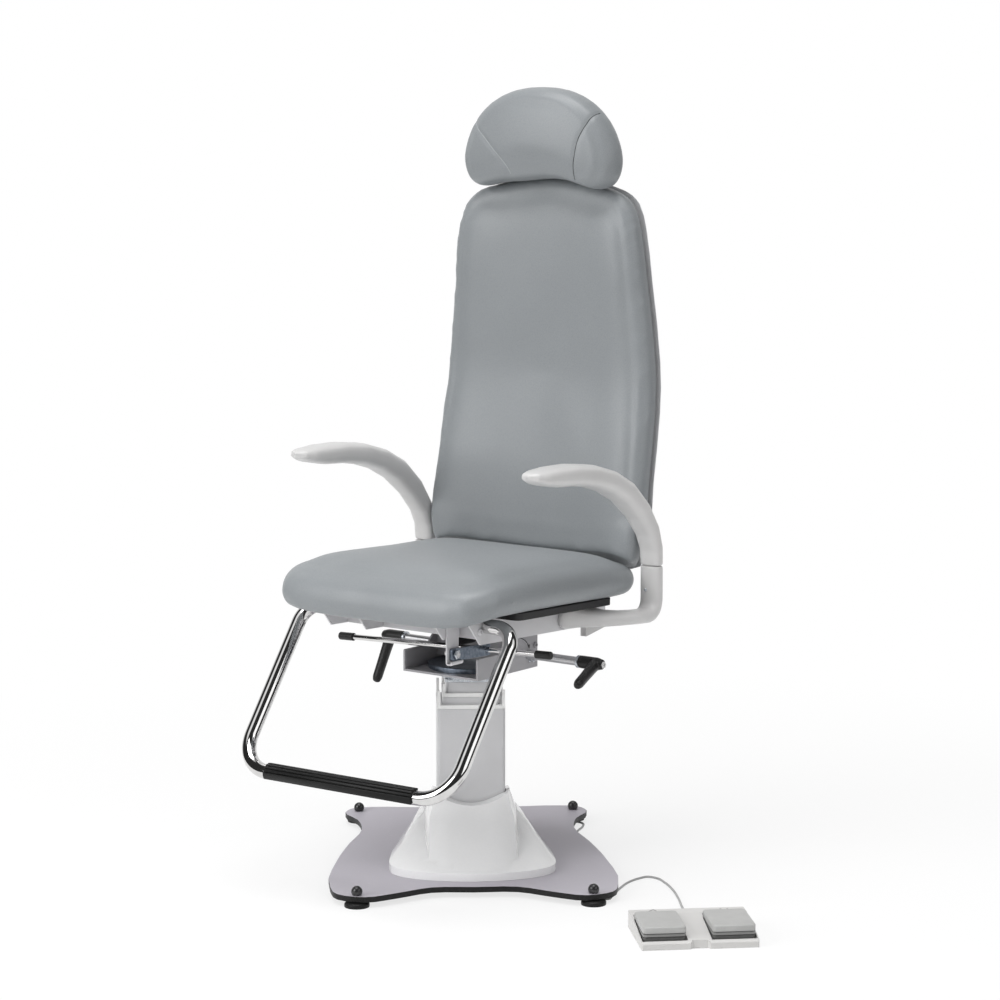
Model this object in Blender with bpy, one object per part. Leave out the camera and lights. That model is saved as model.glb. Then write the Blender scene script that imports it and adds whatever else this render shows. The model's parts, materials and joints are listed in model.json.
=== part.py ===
# Ear, nose and throat examination chair: a base with a lifting column, a swivelling seat with a
# reclining back, a sliding headrest, swing-out arms and a folding footrest, and a foot control.
# Metres, Z up, the sitter faces -Y. The pieces are drawn around the column's axis, which stands at
# COLUMN_X, COLUMN_Y so that the part's origin is on the floor under the middle of the footprint.

import bpy
import bmesh
from math import atan2, cos, pi, radians, sin, tan
from mathutils import Matrix, Vector

for old in list(bpy.data.objects):
    bpy.data.objects.remove(old, do_unlink=True)

# Placing
COLUMN_X = -0.177
COLUMN_Y = -0.002
BASE_TURN = radians(39.0)        # how far the base is turned under the seat
GAP = 0.0003                     # between pieces that lie on each other
RUN = 0.0008                     # between pieces that slide or turn
OVERCUT = 0.010                  # how far a cutter reaches past what it cuts
THROUGH = 0.300                  # half length of a cutter that goes through both sides
OVERLAP = 0.001                  # how far joined shapes reach into each other

# Base plate, in the base's own frame with its front at -Y
PLATE_LIFT = 0.010               # floor to underside
PLATE_THICKNESS = 0.010
PLATE_HALF_WIDTH = 0.251         # over the front lobes
PLATE_LOBE_FRONT = 0.326         # column axis to the front of the lobes
PLATE_FRONT_EDGE = 0.264         # column axis to the front edge between the lobes
PLATE_WAIST = 0.198              # half width at the notches
PLATE_WAIST_Y = 0.165
PLATE_EAR = 0.230                # half width over the rear ears
PLATE_EAR_Y = 0.303
PLATE_REAR_EDGE = 0.339

# Levelling feet
FOOT_X = 0.204
FOOT_Y = 0.312
FOOT_RADIUS = 0.022
FOOT_HEIGHT = 0.0085
FOOT_BEVEL = 0.0028
STEM_RADIUS = 0.005
KNOB_RADIUS = 0.0098
KNOB_RISE = 0.0068               # plate top to the middle of the ball
KNOB_CLIMB = 0.006               # how far the stem reaches into the ball

# Column cover
COVER_HALF = 0.148               # over the front corners
COVER_FRONT = 0.230
COVER_REAR = 0.186
COVER_SKIRT = 0.014              # height of the upright skirt
COVER_WING_TOP = 0.096           # floor to the flat top beside the column
COVER_TOP_HALF = 0.084
COVER_TOP_FRONT = 0.012
COVER_TOP_REAR = 0.096
COVER_WALL = 0.003
SHIELD_FOOT = 0.004              # front of the skirt to the shield's foot
SHIELD_LIP = 0.026               # column to the front of the scooped edge
SHIELD_HALF = 0.0856
SHIELD_TOP_HALF = 0.069
SHIELD_SCOOP = 0.1225            # floor to the middle of the scooped edge
SHIELD_EAR = 0.1455              # floor to the ends of the scooped edge
COVER_CLEARANCE = 0.0012

# Lifting column: three square tubes
OUTER_HALF = 0.061
OUTER_WALL = 0.004
OUTER_TOP = 0.293
MID_HALF = 0.0515
MID_WALL = 0.003
MID_BOTTOM = 0.085
MID_TOP = 0.313
INNER_HALF = 0.0455
INNER_WALL = 0.003
INNER_BOTTOM = 0.100
INNER_TOP = 0.339
TUBE_CORNER = 0.006
GLIDE_RING = 0.0067              # height of the white ring on a tube's end
GLIDE_POST = 0.0050              # side of the corner strips
GLIDE_INSET = 0.0006             # strips behind the ring's face
OUTER_POST_TOP = 0.327
MID_POST_TOP = 0.3375
MOTOR_RADIUS = 0.035
MOTOR_HEIGHT = 0.054
ACTUATOR_RADIUS = 0.017
ACTUATOR_TOP = 0.300
ACTUATOR_FLOOR = 0.040           # floor level to the bottom of the bore
ROD_RADIUS = 0.010
ROD_BOTTOM = 0.045

# Swivel
TOP_PLATE_HALF = 0.047
TOP_PLATE_THICKNESS = 0.006
BEARING_RADIUS = 0.058
BEARING_BORE = 0.024
BEARING_HEIGHT = 0.0091
DISC_RADIUS = 0.0765
DISC_THICKNESS = 0.009
DISC_BEVEL = 0.001
HUB_RADIUS = 0.022

# Swivel bracket, a channel that is low in front
BRACKET_HALF = 0.084
BRACKET_SHEET = 0.004
BRACKET_FRONT = 0.088
BRACKET_REAR = 0.090
BRACKET_LOW = 0.394
BRACKET_HIGH = 0.470
BRACKET_STEP_Y = -0.022
BRACKET_CHAMFER = 0.018
BRACKET_CORNER = 0.003
BULKHEAD_Y = 0.004
BULKHEAD_THICKNESS = 0.008
BULKHEAD_MARGIN = 0.004

# Clamping levers and the tube between them
CLAMP_Y = 0.0615
CLAMP_Z = 0.381
CLAMP_RADIUS = 0.008
CLAMP_HALF = 0.200
LEVER_END = 0.249                # column axis to the outer end of a hub
LEVER_HUB = 0.0115
LEVER_CHAMFER = 0.003
LEVER_CHAMFER_LENGTH = 0.012
LEVER_ROOT = 0.016               # end of the hub to the handle's middle line
LEVER_LENGTH = 0.090
LEVER_LEAN = 0.020               # how far a handle leans outwards
LEVER_LEFT_ANGLE = radians(13.0)
LEVER_RIGHT_ANGLE = radians(74.0)

# Seat frame, drawn level and tilted as one
SEAT_TILT = radians(2.0)         # front up
RAIL_Z = 0.438                   # bottom of the rails at the column axis
RAIL_HALF = 0.168
RAIL_SHEET = 0.003
RAIL_HEIGHT = 0.043
RAIL_TIP = -0.229
RAIL_FOOT = -0.191               # where the slanted front edge meets the bottom
RAIL_REAR = 0.188
RAIL_REAR_FOOT = 0.152
RIB_REAR = 0.278                 # rear end of the inner ribs, which carry the back's hinge
RIB_CHAMFER = 0.012
CROSS_Y = -0.145
BOARD_THICKNESS = 0.013
BOARD_HALF = 0.222
BOARD_FRONT = -0.155
BOARD_REAR = 0.130
BOARD_CORNER = 0.015

# Seat cushion
SEAT_HALF = 0.236
SEAT_FRONT = 0.300
SEAT_REAR = 0.214
SEAT_MIDDLE = -0.050
SEAT_SIDE = 0.051                # height of the rounded side
SEAT_CROWN = 0.0285              # how far the middle stands above the side
SEAT_DROOP = 0.018               # how far the front edge hangs down
SEAT_ROLL = 0.012                # how much more its underside hangs down
SEAT_DROOP_START = 0.195         # column axis to where the front begins to hang

# Arms
ARM_X = 0.258
ARM_Y = 0.199
ARM_SEAM = 0.543
ARM_WIDE = 0.021                 # half width of the oval tube
ARM_THICK = 0.0125               # half thickness of the oval tube
ARM_SQUARENESS = 3.2             # 2 is a plain oval, more is nearer to a rectangle
ARM_LOW = 0.4545                 # middle of the bracket's level stretch
ARM_BEND = 0.026
ARM_ROOT_Y = 0.075
ARM_ROOT_Z = 0.458
ARM_ROOT_HALF = 0.040
ARM_ROOT_TALL = 0.020
ARM_PIN = 0.006
ARM_PIN_DEPTH = 0.035
PAD_HALF = 0.033
PAD_TIP = -0.177

# Footrest
FOOTREST_PIVOT_Y = -0.1775       # in the seat frame
FOOTREST_PIVOT_RISE = 0.0320     # above the rails' bottom
FOOTREST_HALF = 0.2345
FOOTREST_REACH = 0.3285
FOOTREST_ANGLE = radians(35.27)  # legs from upright
FOOTREST_TUBE = 0.0130
FOOTREST_TOP_BEND = 0.040
FOOTREST_LOW_BEND = 0.066
FOOTREST_ROD = 0.0055
FOOTREST_ROD_END = 0.002         # how far the rod stands out of the rails
TREAD_HALF = 0.1645
TREAD_THICKNESS = 0.0036
TREAD_RIB = 0.0012
TREAD_RIBS = 7
TREAD_START = radians(-34.0)     # from straight ahead of the crossbar, downwards
TREAD_END = radians(112.0)       # over the top
TREAD_STEPS = 12                 # facets inside

# Release bar
BAR_Y = -0.079
BAR_Z = 0.409
BAR_RADIUS = 0.005
BAR_HALF = 0.2385                # with the end caps
BAR_TILT = radians(2.0)
CAP_RADIUS = 0.0072
CAP_LENGTH = 0.033
CAP_CLOSED = 0.005               # closed end of a cap
CAP_BEVEL = 0.0015
RELEASE_PIVOT_Y = -0.168
RELEASE_PIVOT_Z = 0.417
RELEASE_PIN = 0.0045
RELEASE_PIN_HEAD = 0.006         # how far the pin stands out of the arm
RELEASE_PIN_TAIL = 0.012         # how far the pin stands out behind the hook
RELEASE_ARM = 0.0065             # thickness
RELEASE_ARM_HALF = 0.0105        # half height
RELEASE_ARM_CORNER = 0.004
BAR_BORE_GAP = 0.0005
HOOK_BOTTOM = 0.402
HOOK_TOP = 0.466
HOOK_WIDTH = 0.034
HOOK_LIP = 0.0105
HOOK_BEND = 0.003
HOOK_LIP_RISE = 0.004

# Back hinge and gas spring
HINGE_Y = 0.250                  # in the seat frame
HINGE_RISE = 0.032               # above the rails' bottom
HINGE_PIN = 0.006
HINGE_PIN_END = 0.014            # how far the pin stands out of the ribs
BACK_ARM_SHEET = 0.005
BACK_ARM_FOOT = 0.560            # floor to where the arms begin to follow the shell
BACK_ARM_TOP = 0.820
BACK_ARM_DEPTH = 0.026
BACK_ARM_GAP = 0.0007            # room for the shell's facets
GUIDE_GAP = 0.0014
TAIL_FRONT = 0.024               # hinge to the front of the lever tail
TAIL_REAR = 0.038
TAIL_DROP = 0.057
RECLINE_LEVER = 0.050            # hinge to the gas spring's pin
RECLINE_START = radians(30.0)    # lever behind straight down at rest
RECLINE_RANGE = radians(60.0)
RECLINE_PIN = 0.005
RECLINE_PIN_END = 0.003          # how far the pin stands out of the arms
SPRING_RADIUS = 0.0125
SPRING_FRONT = -0.052
SPRING_REAR = 0.170
SPRING_ROD = 0.005
SPRING_CAP = 0.008               # closed front end of the cylinder
SPRING_REST = 0.003              # end of the rod to the cap when pushed in
EYE_HALF = 0.012
EYE_TALL = 0.015
EYE_WIDE = 0.008
EYE_PLAY = 0.0013

# Back
BACK_BOTTOM = 0.522
BACK_TOP = 1.2300
BACK_MIDDLE = (BACK_BOTTOM + BACK_TOP) / 2
BACK_HALF = 0.2335
BACK_SIDE = 0.050                # thickness at the side
BACK_CROWN = 0.023
BACK_WRAP = 0.030                # how far the sides stand forward of the middle
SHELL_THICKNESS = 0.009
SEAT_TO_BACK = 0.004

# The back's middle line as (share of its height, place behind the column axis)
BACK_SPINE = ((-0.012, 0.2240), (0.164, 0.2365), (0.324, 0.2550), (0.485, 0.2720), (0.646, 0.2700),
              (0.821, 0.2610), (1.011, 0.2605))

# The back's outline as (share of the half width, share of the height)
BACK_OUTLINE = ((0, 0), (0.700, 0.0010), (0.920, 0.0150), (0.990, 0.0700), (1, 0.230), (0.9914, 0.406),
                (0.9636, 0.534), (0.897, 0.739), (0.8437, 0.8755), (0.7700, 0.936), (0.6900, 0.9570),
                (0.6000, 0.9690), (0.3212, 0.9880), (0, 1))

# Headrest
HEAD_TOP = BACK_TOP + 0.1620
HEAD_LOBE = BACK_TOP - 0.0190    # floor to the bottom of the two lobes
HEAD_NOTCH = BACK_TOP - 0.0015   # floor to the bottom in the middle
HEAD_HALF = 0.1685
HEAD_Y = 0.2215
HEAD_FRONT = 0.055
HEAD_REAR = 0.045
HEAD_MIDDLE = (HEAD_TOP + HEAD_LOBE) / 2 - 0.0045
BAR_WIDE = 0.020
BAR_THICK = 0.006
BAR_BOTTOM = BACK_TOP - 0.2450
CARRIER_Y = 0.3125               # front face of the headrest's bar
GUIDE_TOP = BACK_TOP - 0.0900
GUIDE_HEIGHT = 0.080
GUIDE_HALF = 0.030
GUIDE_WALL = 0.006
HEAD_PLATE_HALF = 0.070
HEAD_PLATE_BELOW = 0.035
HEAD_PLATE_ABOVE = 0.045

# Foot control, in the base's frame
PEDAL_X = 0.356
PEDAL_Y = -0.526
PEDAL_TURN = radians(4.5)
PEDAL_WIDTH = 0.196
PEDAL_DEPTH = 0.150
PEDAL_HEIGHT = 0.030
PEDAL_FRONT_HEIGHT = 0.014
PEDAL_RIM_DEPTH = 0.033          # the flat rim behind the pedals
PEDAL_BRIDGE = 0.034
PEDAL_RECESS = 0.006
PEDAL_EDGE = 0.004               # slanted edges of the housing
PEDAL_CORNER = 0.0028
PEDAL_HINGE_BACK = 0.006         # rear of a bay to the pedal's hinge
PEDAL_HINGE_Z = 0.020
BAY_FLOOR = 0.004
BAY_WIDTH = 0.076
BAY_WALL = 0.005
BAY_SIDE = 0.002
BAY_NECK = 0.016                 # length of the narrow rear end of a bay
PAD_WIDTH = 0.072
PAD_LENGTH = 0.102
PAD_TOP = 0.036
PAD_LOW = 0.0118
PAD_STEP = 0.0062
PAD_INSET = 0.002
PAD_CORNER = 0.006
PAD_BEVEL = 0.0015
PAD_SIDE_GAP = 0.0004
CORD_RADIUS = 0.002
CORD_REST = 0.0005               # room under the cord for its facets
CORD_EXIT_X = -0.011             # in the foot control's frame
CORD_EXIT_Z = 0.012
RELIEF_LENGTH = 0.018
RELIEF_RADIUS = 0.0052
RELIEF_TIP = 0.0032
RELIEF_ROOT = 0.003              # how far the relief reaches into the housing
GLAND_X = 0.100
GLAND_Y = 0.120
GLAND_HALF = 0.008
GLAND_LENGTH = 0.010             # half of it
GLAND_LOW = 0.0012

# The cord's route on the floor in the base's frame, from the foot control to the gland
CORD_ROUTE = (
    (0.3500, -0.385), (0.3535, -0.330), (0.3525, -0.280), (0.3470, -0.220), (0.3380, -0.177),
    (0.3250, -0.145), (0.3110, -0.1365), (0.2970, -0.146), (0.2770, -0.170), (0.2570, -0.214),
    (0.2390, -0.268), (0.2310, -0.287), (0.2190, -0.284), (0.2040, -0.262), (0.1880, -0.215),
    (0.1780, -0.120), (0.1800, 0.000), (0.1880, 0.110), (0.1990, 0.180), (0.2090, 0.214),
    (0.2195, 0.246), (0.2205, 0.268), (0.2110, 0.281), (0.1930, 0.270), (0.1600, 0.205),
)


# Materials
def paint(name, colour, roughness, metallic=0.0):
    mat = bpy.data.materials.new(name)
    mat.use_nodes = True
    shader = mat.node_tree.nodes["Principled BSDF"]
    shader.inputs["Base Color"].default_value = (*colour, 1.0)
    shader.inputs["Roughness"].default_value = roughness
    shader.inputs["Metallic"].default_value = metallic
    return mat


plate_paint = paint("plate_paint", (0.50, 0.50, 0.55), 0.45)
black_rubber = paint("black_rubber", (0.03, 0.03, 0.03), 0.7)
knob_black = paint("knob_black", (0.02, 0.02, 0.02), 0.3)
white_shell = paint("white_shell", (0.80, 0.80, 0.82), 0.25)
column_paint = paint("column_paint", (0.62, 0.62, 0.64), 0.4)
glide_white = paint("glide_white", (0.85, 0.85, 0.84), 0.5)
zinc = paint("zinc", (0.42, 0.44, 0.47), 0.4, 1.0)
frame_paint = paint("frame_paint", (0.55, 0.55, 0.58), 0.45)
board_black = paint("board_black", (0.03, 0.03, 0.03), 0.6)
leather = paint("leather", (0.29, 0.31, 0.33), 0.45)
chrome = paint("chrome", (0.80, 0.81, 0.83), 0.08, 1.0)
tread_rubber = paint("tread_rubber", (0.04, 0.04, 0.04), 0.75)
shell_grey = paint("shell_grey", (0.66, 0.66, 0.67), 0.45)
arm_grey = paint("arm_grey", (0.52, 0.53, 0.57), 0.45)
lever_black = paint("lever_black", (0.03, 0.03, 0.03), 0.4)
pedal_grey = paint("pedal_grey", (0.72, 0.72, 0.73), 0.45)
pad_grey = paint("pad_grey", (0.50, 0.50, 0.49), 0.6)
cord_grey = paint("cord_grey", (0.62, 0.62, 0.62), 0.5)


# Frames and joint axes
def empty(name, parent, place, turn=(0.0, 0.0, 0.0)):
    ob = bpy.data.objects.new(name, None)
    bpy.context.scene.collection.objects.link(ob)
    ob.parent = parent
    ob.location = place
    ob.rotation_euler = turn
    return ob


# A point of the level seat frame as it stands in the tilted one
def tilted(y, rise):
    return (y * cos(SEAT_TILT) + rise * sin(SEAT_TILT),
            RAIL_Z - y * sin(SEAT_TILT) + rise * cos(SEAT_TILT))


hinge_y, hinge_z = tilted(HINGE_Y, HINGE_RISE)
foot_y, foot_z = tilted(FOOTREST_PIVOT_Y, FOOTREST_PIVOT_RISE)

chair = empty("chair", None, (COLUMN_X, COLUMN_Y, 0))
base = empty("base", chair, (0, 0, 0), (0, 0, BASE_TURN))
control = empty("control", base, (PEDAL_X, PEDAL_Y, 0), (0, 0, PEDAL_TURN))
seat = empty("seat", chair, (0, 0, RAIL_Z), (-SEAT_TILT, 0, 0))
axes = {}


def axis_at(name, place):
    axes[name] = empty(name, chair, place)
    return axes[name]


recline_axis = axis_at("recline_axis", (0, hinge_y, hinge_z))
footrest_axis = axis_at("footrest_axis", (0, foot_y, foot_z))
release_axis = axis_at("release_axis", (0, RELEASE_PIVOT_Y, RELEASE_PIVOT_Z))
clamp_axis = axis_at("clamp_axis", (0, CLAMP_Y, CLAMP_Z))
arm_axis = {side: axis_at("arm_axis_" + word, (side * ARM_X, ARM_Y, ARM_SEAM))
            for side, word in ((-1, "left"), (1, "right"))}


# Building blocks
def finish(name, bm, mat, parent):
    bmesh.ops.recalc_face_normals(bm, faces=bm.faces)
    bmesh.ops.triangulate(bm, faces=bm.faces)
    if parent.name in axes:
        bmesh.ops.translate(bm, verts=bm.verts, vec=-parent.location)
    mesh = bpy.data.meshes.new(name)
    bm.to_mesh(mesh)
    bm.free()
    mesh.materials.append(mat)
    ob = bpy.data.objects.new(name, mesh)
    bpy.context.scene.collection.objects.link(ob)
    ob.parent = parent
    return ob


def tool(name, bm, parent):
    ob = finish(name, bm, zinc, parent)
    ob.hide_render = True
    ob.display_type = "WIRE"
    return ob


def combine(target, other, operation):
    mod = target.modifiers.new(other.name, "BOOLEAN")
    mod.operation = operation
    mod.solver = "EXACT"
    mod.object = other


def along(axis, u, v, w):
    if axis == "X":
        return Vector((w, u, v))
    if axis == "Y":
        return Vector((u, w, v))
    return Vector((u, v, w))


# A skin over rings of equal count, where a ring of one point closes an end
def skin(rings, closed=False):
    bm = bmesh.new()
    rows = [[bm.verts.new(p) for p in ring] for ring in rings]
    pairs = list(zip(rows, rows[1:]))
    if closed:
        pairs.append((rows[-1], rows[0]))
    for low, high in pairs:
        count = max(len(low), len(high))
        for i in range(count):
            j = (i + 1) % count
            if len(low) == 1:
                bm.faces.new((low[0], high[j], high[i]))
            elif len(high) == 1:
                bm.faces.new((low[i], low[j], high[0]))
            else:
                bm.faces.new((low[i], low[j], high[j], high[i]))
    if not closed:
        for row in (rows[0], rows[-1]):
            if len(row) > 1:
                bm.faces.new(row)
    return bm


def prism(outline, low, high, axis="Z"):
    return skin([[along(axis, u, v, w) for u, v in outline] for w in (low, high)])


def box(low, high):
    outline = ((low[0], low[1]), (high[0], low[1]), (high[0], high[1]), (low[0], high[1]))
    return prism(outline, low[2], high[2])


# A turned piece about an axis through centre, from (radius, place on the axis) pairs
def turned(profile, centre=(0, 0, 0), axis="Z", segments=24):
    turns = [2 * pi * k / segments for k in range(segments)]
    rings = []
    for radius, w in profile:
        if radius == 0:
            rings.append([Vector(centre) + along(axis, 0, 0, w)])
        else:
            rings.append([Vector(centre) + along(axis, radius * cos(a), radius * sin(a), w) for a in turns])
    return skin(rings, closed=profile[0][0] > 0)


def rod(radius, low, high, centre=(0, 0, 0), axis="Z", segments=20):
    return turned(((0, low), (radius, low), (radius, high), (0, high)), centre, axis, segments)


# A polygon with rounded corners
def rounded(points, radius, steps=4):
    outline = []
    count = len(points)
    for i in range(count):
        corner = Vector(points[i])
        back = (Vector(points[i - 1]) - corner).normalized()
        ahead = (Vector(points[(i + 1) % count]) - corner).normalized()
        half = back.angle(ahead) / 2
        middle = corner + (back + ahead).normalized() * (radius / sin(half))
        first = corner + back * (radius / tan(half)) - middle
        last = corner + ahead * (radius / tan(half)) - middle
        start = atan2(first.y, first.x)
        sweep = (atan2(last.y, last.x) - start + pi) % (2 * pi) - pi
        for k in range(steps + 1):
            a = start + sweep * k / steps
            outline.append((middle.x + radius * cos(a), middle.y + radius * sin(a)))
    return outline


def square(half, radius=TUBE_CORNER, steps=3):
    return rounded(((-half, -half), (half, -half), (half, half), (-half, half)), radius, steps)


def square_tube(half, wall, low, high):
    outer = square(half)
    inner = square(half - wall, TUBE_CORNER - wall / 2)
    rings = [[Vector((x, y, z)) for x, y in loop]
             for loop, z in ((outer, low), (outer, high), (inner, high), (inner, low))]
    return skin(rings, closed=True)


# A smooth curve through points in any number of dimensions
def spline(points, steps):
    pts = [Vector(p) for p in points]
    spans = [(b - a).length for a, b in zip(pts, pts[1:])]
    slopes = [(pts[1] - pts[0]) / spans[0]]
    for i in range(1, len(pts) - 1):
        behind = (pts[i] - pts[i - 1]) / spans[i - 1]
        ahead = (pts[i + 1] - pts[i]) / spans[i]
        slopes.append((behind * spans[i] + ahead * spans[i - 1]) / (spans[i] + spans[i - 1]))
    slopes.append((pts[-1] - pts[-2]) / spans[-1])
    curve = []
    for i, span in enumerate(spans):
        for k in range(steps):
            t = k / steps
            curve.append(pts[i] * (2 * t ** 3 - 3 * t ** 2 + 1) + slopes[i] * span * (t ** 3 - 2 * t ** 2 + t)
                         + pts[i + 1] * (3 * t ** 2 - 2 * t ** 3) + slopes[i + 1] * span * (t ** 3 - t ** 2))
    curve.append(pts[-1])
    return curve


# A closed outline from the points of its right half, both ends on the middle line
def mirrored(half, steps):
    ends = [(-half[1][0], half[1][1])] + list(half) + [(-half[-2][0], half[-2][1])]
    right = spline(ends, steps)[steps:-steps]
    return [(p.x, p.y) for p in right] + [(-p.x, p.y) for p in reversed(right[1:-1])]


# A value read from a smooth curve over (place, value) pairs
def read(curve, place):
    for a, b in zip(curve, curve[1:]):
        if place <= b.x:
            return a.y + (b.y - a.y) * (place - a.x) / (b.x - a.x)
    return curve[-1].y


# A pillow: an outline shrunk towards its middle in layers of (share, depth)
def pillow(outline, middle, layers, place):
    rings = []
    for share, depth in layers:
        if share == 0:
            rings.append([place(0.0, middle, share, depth)])
        else:
            rings.append([place(u * share, middle + (v - middle) * share, share, depth) for u, v in outline])
    return skin(rings)


# An oval loft through stations of (middle, half axis, half axis); an end of half size zero is a point
def oval_loft(stations, segments=18, squareness=2.4):
    rings = []
    for centre, u, v in stations:
        if u.length < 1e-6:
            rings.append([centre])
            continue
        ring = []
        for k in range(segments):
            a = 2 * pi * k / segments
            c, s = cos(a), sin(a)
            reach = (abs(c) ** squareness + abs(s) ** squareness) ** (-1 / squareness)
            ring.append(centre + u * c * reach + v * s * reach)
        rings.append(ring)
    return skin(rings)


# Corners of a 3-D path turned into arcs
def filleted(points, radii, steps):
    path = [Vector(points[0])]
    for i in range(1, len(points) - 1):
        corner = Vector(points[i])
        back = (Vector(points[i - 1]) - corner).normalized()
        ahead = (Vector(points[i + 1]) - corner).normalized()
        half = back.angle(ahead) / 2
        radius = radii[i - 1]
        middle = corner + (back + ahead).normalized() * (radius / sin(half))
        first = corner + back * (radius / tan(half)) - middle
        last = corner + ahead * (radius / tan(half)) - middle
        for k in range(steps + 1):
            path.append(middle + first.slerp(last, k / steps) * radius)
    path.append(Vector(points[-1]))
    return path


def bent_tube(name, path, radius, mat, parent, resolution=3):
    curve = bpy.data.curves.new(name, "CURVE")
    curve.dimensions = "3D"
    curve.bevel_depth = radius
    curve.bevel_resolution = resolution
    curve.use_fill_caps = True
    line = curve.splines.new("POLY")
    line.points.add(len(path) - 1)
    offset = parent.location if parent.name in axes else Vector((0, 0, 0))
    for point, place in zip(line.points, path):
        point.co = (*(Vector(place) - offset), 1.0)
    curve.materials.append(mat)
    ob = bpy.data.objects.new(name, curve)
    bpy.context.scene.collection.objects.link(ob)
    ob.parent = parent
    return ob


SIDES = ((-1, "left"), (1, "right"))
plate_top = PLATE_LIFT + PLATE_THICKNESS

# Base plate
plate_half = (
    (0, -PLATE_FRONT_EDGE), (0.075, -PLATE_FRONT_EDGE), (0.135, -PLATE_LOBE_FRONT + 0.026),
    (FOOT_X - 0.013, -PLATE_LOBE_FRONT), (PLATE_HALF_WIDTH - 0.013, -PLATE_LOBE_FRONT + 0.023),
    (PLATE_HALF_WIDTH, -PLATE_LOBE_FRONT + 0.076), (PLATE_HALF_WIDTH - 0.008, -0.080),
    (PLATE_WAIST + 0.022, PLATE_WAIST_Y - 0.105), (PLATE_WAIST, PLATE_WAIST_Y),
    (PLATE_WAIST + 0.008, PLATE_WAIST_Y + 0.075), (PLATE_EAR, PLATE_EAR_Y),
    (PLATE_EAR - 0.018, PLATE_REAR_EDGE), (PLATE_EAR - 0.050, PLATE_REAR_EDGE + 0.006),
    (0.090, PLATE_REAR_EDGE), (0, PLATE_REAR_EDGE - 0.002),
)
base_plate = finish("base_plate", prism(mirrored(plate_half, 3), PLATE_LIFT, plate_top), plate_paint, base)

# Levelling feet with ball knobs
stem_top = plate_top + KNOB_CLIMB
knob_middle = plate_top + KNOB_RISE
knob_flat = (KNOB_RADIUS ** 2 - (KNOB_RISE - GAP) ** 2) ** 0.5
foot_profile = ((0, 0), (FOOT_RADIUS, 0), (FOOT_RADIUS, FOOT_HEIGHT - FOOT_BEVEL),
                (FOOT_RADIUS - FOOT_BEVEL, FOOT_HEIGHT), (STEM_RADIUS, FOOT_HEIGHT),
                (STEM_RADIUS, stem_top), (0, stem_top))
ball_turns = [radians(22 * k) for k in range(1, 6)]
ball = [(KNOB_RADIUS * sin(a), knob_middle + KNOB_RADIUS * cos(a)) for a in ball_turns]
knob_profile = ([(0, knob_middle + KNOB_RADIUS)] + ball + [
    (knob_flat, plate_top + GAP), (STEM_RADIUS + GAP, plate_top + GAP),
    (STEM_RADIUS + GAP, stem_top + GAP), (0, stem_top + GAP)])
for sy, end in ((-1, "front"), (1, "rear")):
    for sx, word in SIDES:
        spot = (sx * FOOT_X, sy * FOOT_Y, 0)
        finish("foot_%s_%s" % (end, word), turned(foot_profile, spot), black_rubber, base)
        finish("knob_%s_%s" % (end, word), turned(knob_profile, spot, segments=18), knob_black, base)
        hole = tool("stem_hole_%s_%s" % (end, word),
                    rod(STEM_RADIUS + RUN, 0, plate_top + OVERCUT, spot, segments=16), base)
        combine(base_plate, hole, "DIFFERENCE")


# Column cover: a low skirt with two wings that slope down to its front corners, and a scooped shield
# in front of the column
def plan(half, front, rear, z, power, count=32):
    ring = []
    for k in range(count):
        a = 2 * pi * k / count
        c, s = cos(a), sin(a)
        reach = (abs(c) ** power + abs(s) ** power) ** (-1 / power)
        depth = rear if s > 0 else front
        ring.append(Vector((half * c * reach, depth * s * reach, z)))
    return ring


# The wings' outlines at the foot and at the top, in shares of the half width and of the front or rear
WING_FOOT = ((0, -1), (0.49, -0.952), (0.83, -0.845), (0.966, -0.735), (1, -0.57), (0.89, 0), (0.76, 0.54),
             (0.57, 0.89), (0, 1))
WING_HEAD = ((0, -1), (0.49, -1), (0.80, -0.97), (0.95, -0.86), (1, -0.62), (1, 0), (1, 0.5), (0.8, 0.94),
             (0, 1))
WING_RISE = ((0.03, 0.03), (0.17, 0.16), (0.44, 0.46), (0.70, 0.78), (1.0, 1.0))


def wing_outline(shares, half, front, rear):
    return mirrored([(u * half, v * (front if v < 0 else rear)) for u, v in shares], 2)


wing_foot = wing_outline(WING_FOOT, COVER_HALF, COVER_FRONT, COVER_REAR)
wing_head = wing_outline(WING_HEAD, COVER_TOP_HALF, COVER_TOP_FRONT, COVER_TOP_REAR)


def cover_wings(inset, low):
    shoulder = plate_top + GAP + COVER_SKIRT
    rise = COVER_WING_TOP - shoulder
    levels = [(0.0, low), (0.0, shoulder - inset)]
    levels += [(share, shoulder + rise * height - inset) for share, height in WING_RISE]
    rings = []
    for share, z in levels:
        shrink = 1 - inset / (COVER_HALF + (COVER_TOP_HALF - COVER_HALF) * share)
        ring = [Vector(a).lerp(Vector(b), share) * shrink for a, b in zip(wing_foot, wing_head)]
        rings.append([Vector((p.x, p.y, z)) for p in ring])
    return skin(rings)


SHIELD_RISE = ((0.0, 0.0, 0.0), (0.11, 0.015, 0.02), (0.28, 0.20, 0.06), (0.52, 0.52, 0.13),
               (0.80, 0.85, 0.24), (1.0, 1.0, 1.0))
SHIELD_SQUARENESS = 9.0
SHIELD_BOW = 0.09                # share of the reach by which its side edges stand back


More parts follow.
